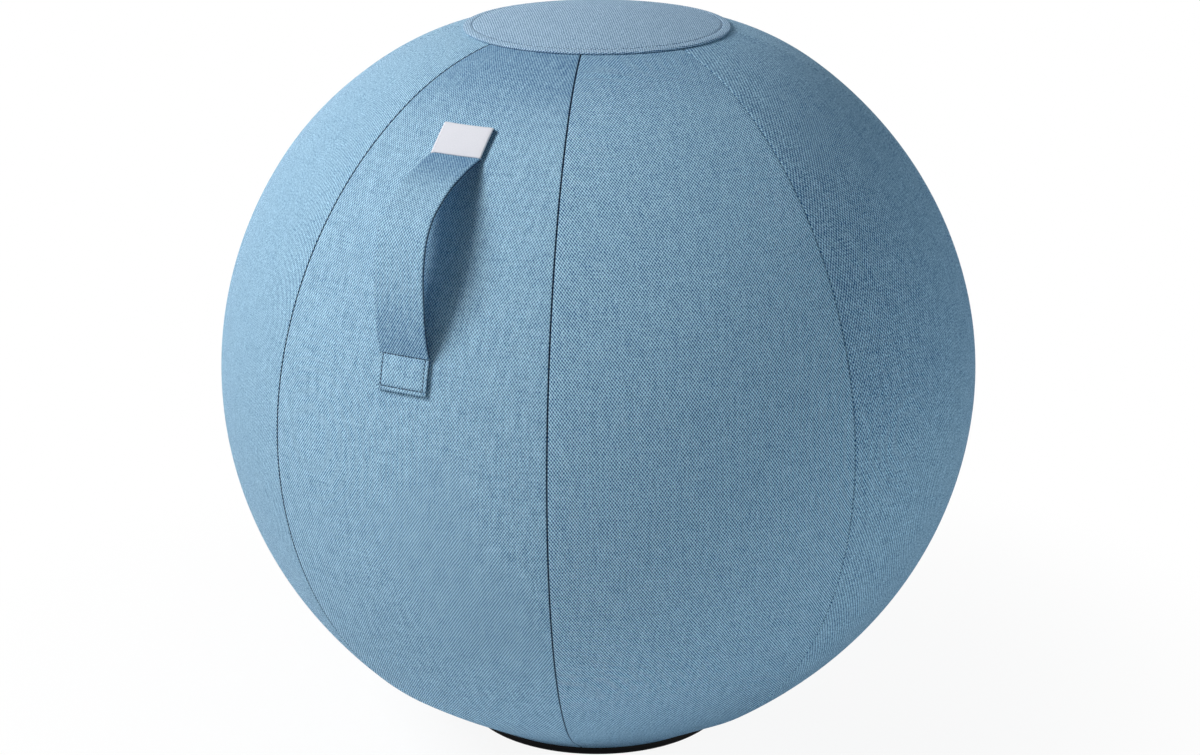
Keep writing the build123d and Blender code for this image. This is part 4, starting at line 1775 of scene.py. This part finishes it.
@dataclass
class Studio:
    """Pale floor, soft light and the camera at the photograph's angle."""

    centre: Vector
    azimuth: float = 29.2
    elevation: float = 18.31
    distance: float = 2.4287
    focal_pixels: float = 2791.4
    image_width: int = 1200
    image_height: int = 755
    ball_pixel: tuple[float, float] = (596.98, 367.45)
    sensor: float = 36.0
    ambient: float = 0.05
    floor_radius: float = 9.0
    floor_segments: int = 96
    floor_drop: float = 0.3 * MM
    floor_albedo: float = 0.92
    floor_white: float = 0.92
    floor_fade: tuple[float, float] = (0.03, 0.5)

    def aimed(
        self, name: str, data: bpy.types.ID, back: Vector, distance: float
    ) -> bpy.types.Object:
        """Stands a camera or lamp off the ball and turns it to the ball's middle.

        Args:
            name: Its name.
            data: The camera or lamp.
            back: The direction that it stands in.
            distance: How far off it stands.

        Returns:
            Its object.
        """
        made = bpy.data.objects.new(name, data)
        made.location = self.centre + back * distance
        made.rotation_mode = "QUATERNION"
        made.rotation_quaternion = (-back).to_track_quat("-Z", "Y")
        bpy.context.scene.collection.objects.link(made)
        return made

    def camera(self) -> None:
        """Sets up the camera, with the small shift that the photograph's framing needs."""
        data = bpy.data.cameras.new("camera")
        data.sensor_width = self.sensor
        data.lens = self.sensor * self.focal_pixels / self.image_width
        data.shift_x = (self.image_width / 2 - self.ball_pixel[0]) / self.image_width
        data.shift_y = (self.ball_pixel[1] - self.image_height / 2) / self.image_width
        back = heading(self.azimuth, self.elevation)
        bpy.context.scene.camera = self.aimed("camera", data, back, self.distance)

    def lamp(self, lamp: Lamp) -> None:
        """Adds a square soft lamp that faces the ball.

        Args:
            lamp: Where it stands and how bright it is.
        """
        data = bpy.data.lights.new(lamp.name, "AREA")
        data.size = lamp.size
        data.color = lamp.tint
        # With this power a white face turned to the lamp shows the brightness that is asked for.
        data.energy = lamp.light * math.pi**2 * lamp.distance**2
        made = self.aimed(lamp.name, data, heading(lamp.azimuth, lamp.elevation), lamp.distance)
        made.visible_camera = False

    def seen(self, graph: NodeGraph) -> Value:
        """Tells rays that see the background directly, in metal or through glass.

        Args:
            graph: The nodes of the world or floor.

        Returns:
            1 for such rays and 0 for others.
        """
        path = graph.node("ShaderNodeLightPath").outputs
        rays = ("Is Camera Ray", "Is Glossy Ray", "Is Transmission Ray")
        direct, mirrored, through = (Value(graph, path[ray]) for ray in rays)
        return direct.larger(mirrored).larger(through)

    def world(self) -> None:
        """White behind the object, and a plain soft light all round."""
        made = bpy.data.worlds.new("studio")
        made.use_nodes = True
        graph = NodeGraph(made.node_tree)
        ambient = {"Color": (*COOL, 1.0), "Strength": self.ambient}
        light = graph.node("ShaderNodeBackground", None, ambient)
        white = graph.node("ShaderNodeBackground", None, {"Color": WHITE, "Strength": 1.0})
        inputs = {0: self.seen(graph), 1: light.outputs[0], 2: white.outputs[0]}
        mixed = graph.node("ShaderNodeMixShader", None, inputs)
        graph.node("ShaderNodeOutputWorld", None, {"Surface": mixed.outputs[0]})
        bpy.context.scene.world = made

    def floor(self) -> None:
        """A pale floor that turns white away from the object and keeps its shadow."""
        mesh = bmesh.new()
        bmesh.ops.create_circle(
            mesh, cap_ends=True, segments=self.floor_segments, radius=self.floor_radius
        )
        bmesh.ops.translate(mesh, verts=mesh.verts, vec=-UP * self.floor_drop)
        data = bpy.data.meshes.new("floor")
        mesh.to_mesh(data)
        mesh.free()
        made = bpy.data.objects.new("floor", data)
        bpy.context.scene.collection.objects.link(made)
        material = bpy.data.materials.new("floor")
        material.use_nodes = True
        graph = NodeGraph(material.node_tree)
        x, y, _ = graph.split(graph.place())
        away = (x * x + y * y).rise(*self.floor_fade)
        grey = (self.floor_albedo, self.floor_albedo, self.floor_albedo, 1.0)
        pale = graph.node("ShaderNodeBsdfDiffuse", None, {"Color": grey})
        white = graph.node("ShaderNodeEmission", None, {"Color": WHITE, "Strength": 1.0})
        share = self.seen(graph) * (self.floor_white + (1 - self.floor_white) * away)
        inputs = {0: share, 1: pale.outputs[0], 2: white.outputs[0]}
        mixed = graph.node("ShaderNodeMixShader", None, inputs)
        graph.node("ShaderNodeOutputMaterial", None, {"Surface": mixed.outputs[0]})
        data.materials.append(material)

    def build(self) -> None:
        """Sets up floor, world, lamps and camera."""
        self.floor()
        self.world()
        for lamp in LAMPS:
            self.lamp(lamp)
        self.camera()
        bpy.context.scene.view_settings.view_transform = "Standard"


# The finishes

COVER = TwillFinish(
    "cover_twill",
    "cover_fabric",
    specular=0.05,
    sheen=0.12,
    sheen_tint=colour(175, 200, 230),
)
SIDE = replace(
    COVER,
    pitch=2.4 * MM,
    ridge_contrast=0.28,
    cross_contrast=0.28,
    speckle_contrast=0.42,
    streak_contrast=0.12,
)
# The seat disc's twill: greyer yarns, and a lighter balance that is painted light from above.
SEAT = replace(
    COVER,
    name="seat_disc_twill",
    dark=colour(34, 84, 128),
    light=colour(196, 224, 243),
    balance=0.58,
    contrast=1.2,
)
STRAP = replace(COVER, name="strap_twill", contrast=0.62)
THREAD = ThreadFinish("cover_thread")
STRAP_THREAD = ThreadFinish("strap_thread", shade=colour(14, 30, 56), glint=colour(40, 64, 94))
LABEL_THREAD = ThreadFinish(
    "label_thread", shade=colour(196, 184, 196), glint=colour(224, 214, 222)
)
LABEL = WovenFinish(
    "label_satin",
    "label_fabric",
    shade=colour(210, 210, 217),
    glint=colour(232, 232, 238),
    rib=1.1 * MM,
)
BASE = WovenFinish(
    "base_cloth",
    "base_fabric",
    specular=0.1,
    shade=colour(4, 4, 5),
    glint=colour(14, 14, 16),
    rib=1.6 * MM,
)
ZIP_TAPE = WovenFinish(
    "zip_tape_weave", "zip_tape", shade=colour(46, 78, 112), glint=colour(92, 126, 160)
)
ZIP_TEETH = MouldedFinish(
    "zip_teeth_moulding", "zip_teeth", shade=colour(92, 118, 146), glint=colour(140, 164, 188)
)
ZIP_METAL = MetalFinish("zip_metal_plating", "zip_metal")
LINING = WovenFinish(
    "lining_cloth",
    "lining_fabric",
    shade=colour(70, 92, 112),
    glint=colour(120, 142, 160),
    on_cloth=False,
)
RING = MouldedFinish(
    "ring_weight_casting", "ring_weight", shade=colour(64, 62, 60), glint=colour(98, 96, 92)
)
SKIN = MouldedFinish(
    "inner_ball_moulding",
    "inner_ball_skin",
    shade=colour(96, 98, 102),
    glint=colour(122, 124, 128),
    roughness=0.38,
)
VALVE = MouldedFinish(
    "valve_moulding", "valve_plastic", shade=colour(208, 208, 206), glint=colour(232, 232, 230)
)

SEAM_SEWING = Seamstress(THREAD, length=1.7 * MM)
DISC_SEWING = Seamstress(THREAD, thickness=0.6 * MM)
STRAP_SEWING = Seamstress(STRAP_THREAD, thickness=0.9 * MM)
LABEL_SEWING = Seamstress(LABEL_THREAD, thickness=0.45 * MM)

INNER_FINISHES = {
    "top_disc_lining": LINING,
    "ring_casing": LINING,
    "base_ring": RING,
    "upper_inner_patch": LINING,
    "lower_inner_patch": LINING,
    "zip_guard": LINING,
    "inner_ball": SKIN,
    "valve_seat": VALVE,
    "valve_plug": VALVE,
}
# Painted shade on the upper parts of the front, front-right and right gores.
GORE_SHADE_BANDS = {
    "front": ShadeBand(0.66, 0.77, -0.20),
    "front_right": ShadeBand(0.68, 0.78, -0.14),
    "right": ShadeBand(0.36, 0.46, -0.08),
}
GORE_CONTRASTS = {"front": 0.66, "front_left": 1.25}
FRONT_GORES = ("front", "front_right", "front_left")


def gore_finishes() -> list[Finish]:
    """One twill for each gore: the ridges lean to alternate sides, as neighbouring cuts do.

    Returns:
        The finishes in the gores' order.
    """
    made = []
    for index, name in enumerate(GORE_NAMES):
        lean = Lean.RIGHT if index % 2 == 0 else Lean.LEFT
        # Some gores get painted shade bands.
        shade_bands = (GORE_SHADE_BANDS[name],) if name in GORE_SHADE_BANDS else ()
        cut = COVER if name in FRONT_GORES else SIDE
        contrast = GORE_CONTRASTS.get(name, 1.0)
        made.append(replace(cut, name=f"{name}_twill", lean=lean, shade_bands=shade_bands, contrast=contrast))
    return made


def main() -> None:
    """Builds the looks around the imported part."""
    logging.basicConfig(level=logging.INFO, format="%(name)s %(message)s")
    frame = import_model()
    nodes = frame["nodes"]
    pivot = next(joint for joint in frame["joints"] if joint["name"] == "zip_run")["pos_m"]
    base_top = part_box("base_cup")[1]
    meridian = Meridian(
        radius=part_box("right_gore")[1].x,
        centre_height=pivot[2],
        rim_radius=base_top.x,
        rim_height=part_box("front_gore")[0].z,
        disc_radius=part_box("top_disc")[1].x,
    )
    zip_place = ZipPlace()
    cover = Cover(meridian, zip_place, gore_finishes(), SEAM_SEWING)
    cover.build()
    cover.sew_seams()
    SeatDisc(meridian, SEAT, DISC_SEWING).build()
    CarryStrap(cover, STRAP, LABEL, STRAP_SEWING, LABEL_SEWING).build()
    Base(meridian, BASE).build()
    Zip(cover, zip_place, nodes, ZIP_TAPE, ZIP_TEETH, ZIP_METAL).build()
    for name, finish in INNER_FINISHES.items():
        dress(nodes[name], finish)
    Studio(Vector((0.0, 0.0, meridian.centre_height))).build()


if __name__ == "__main__":
    main()
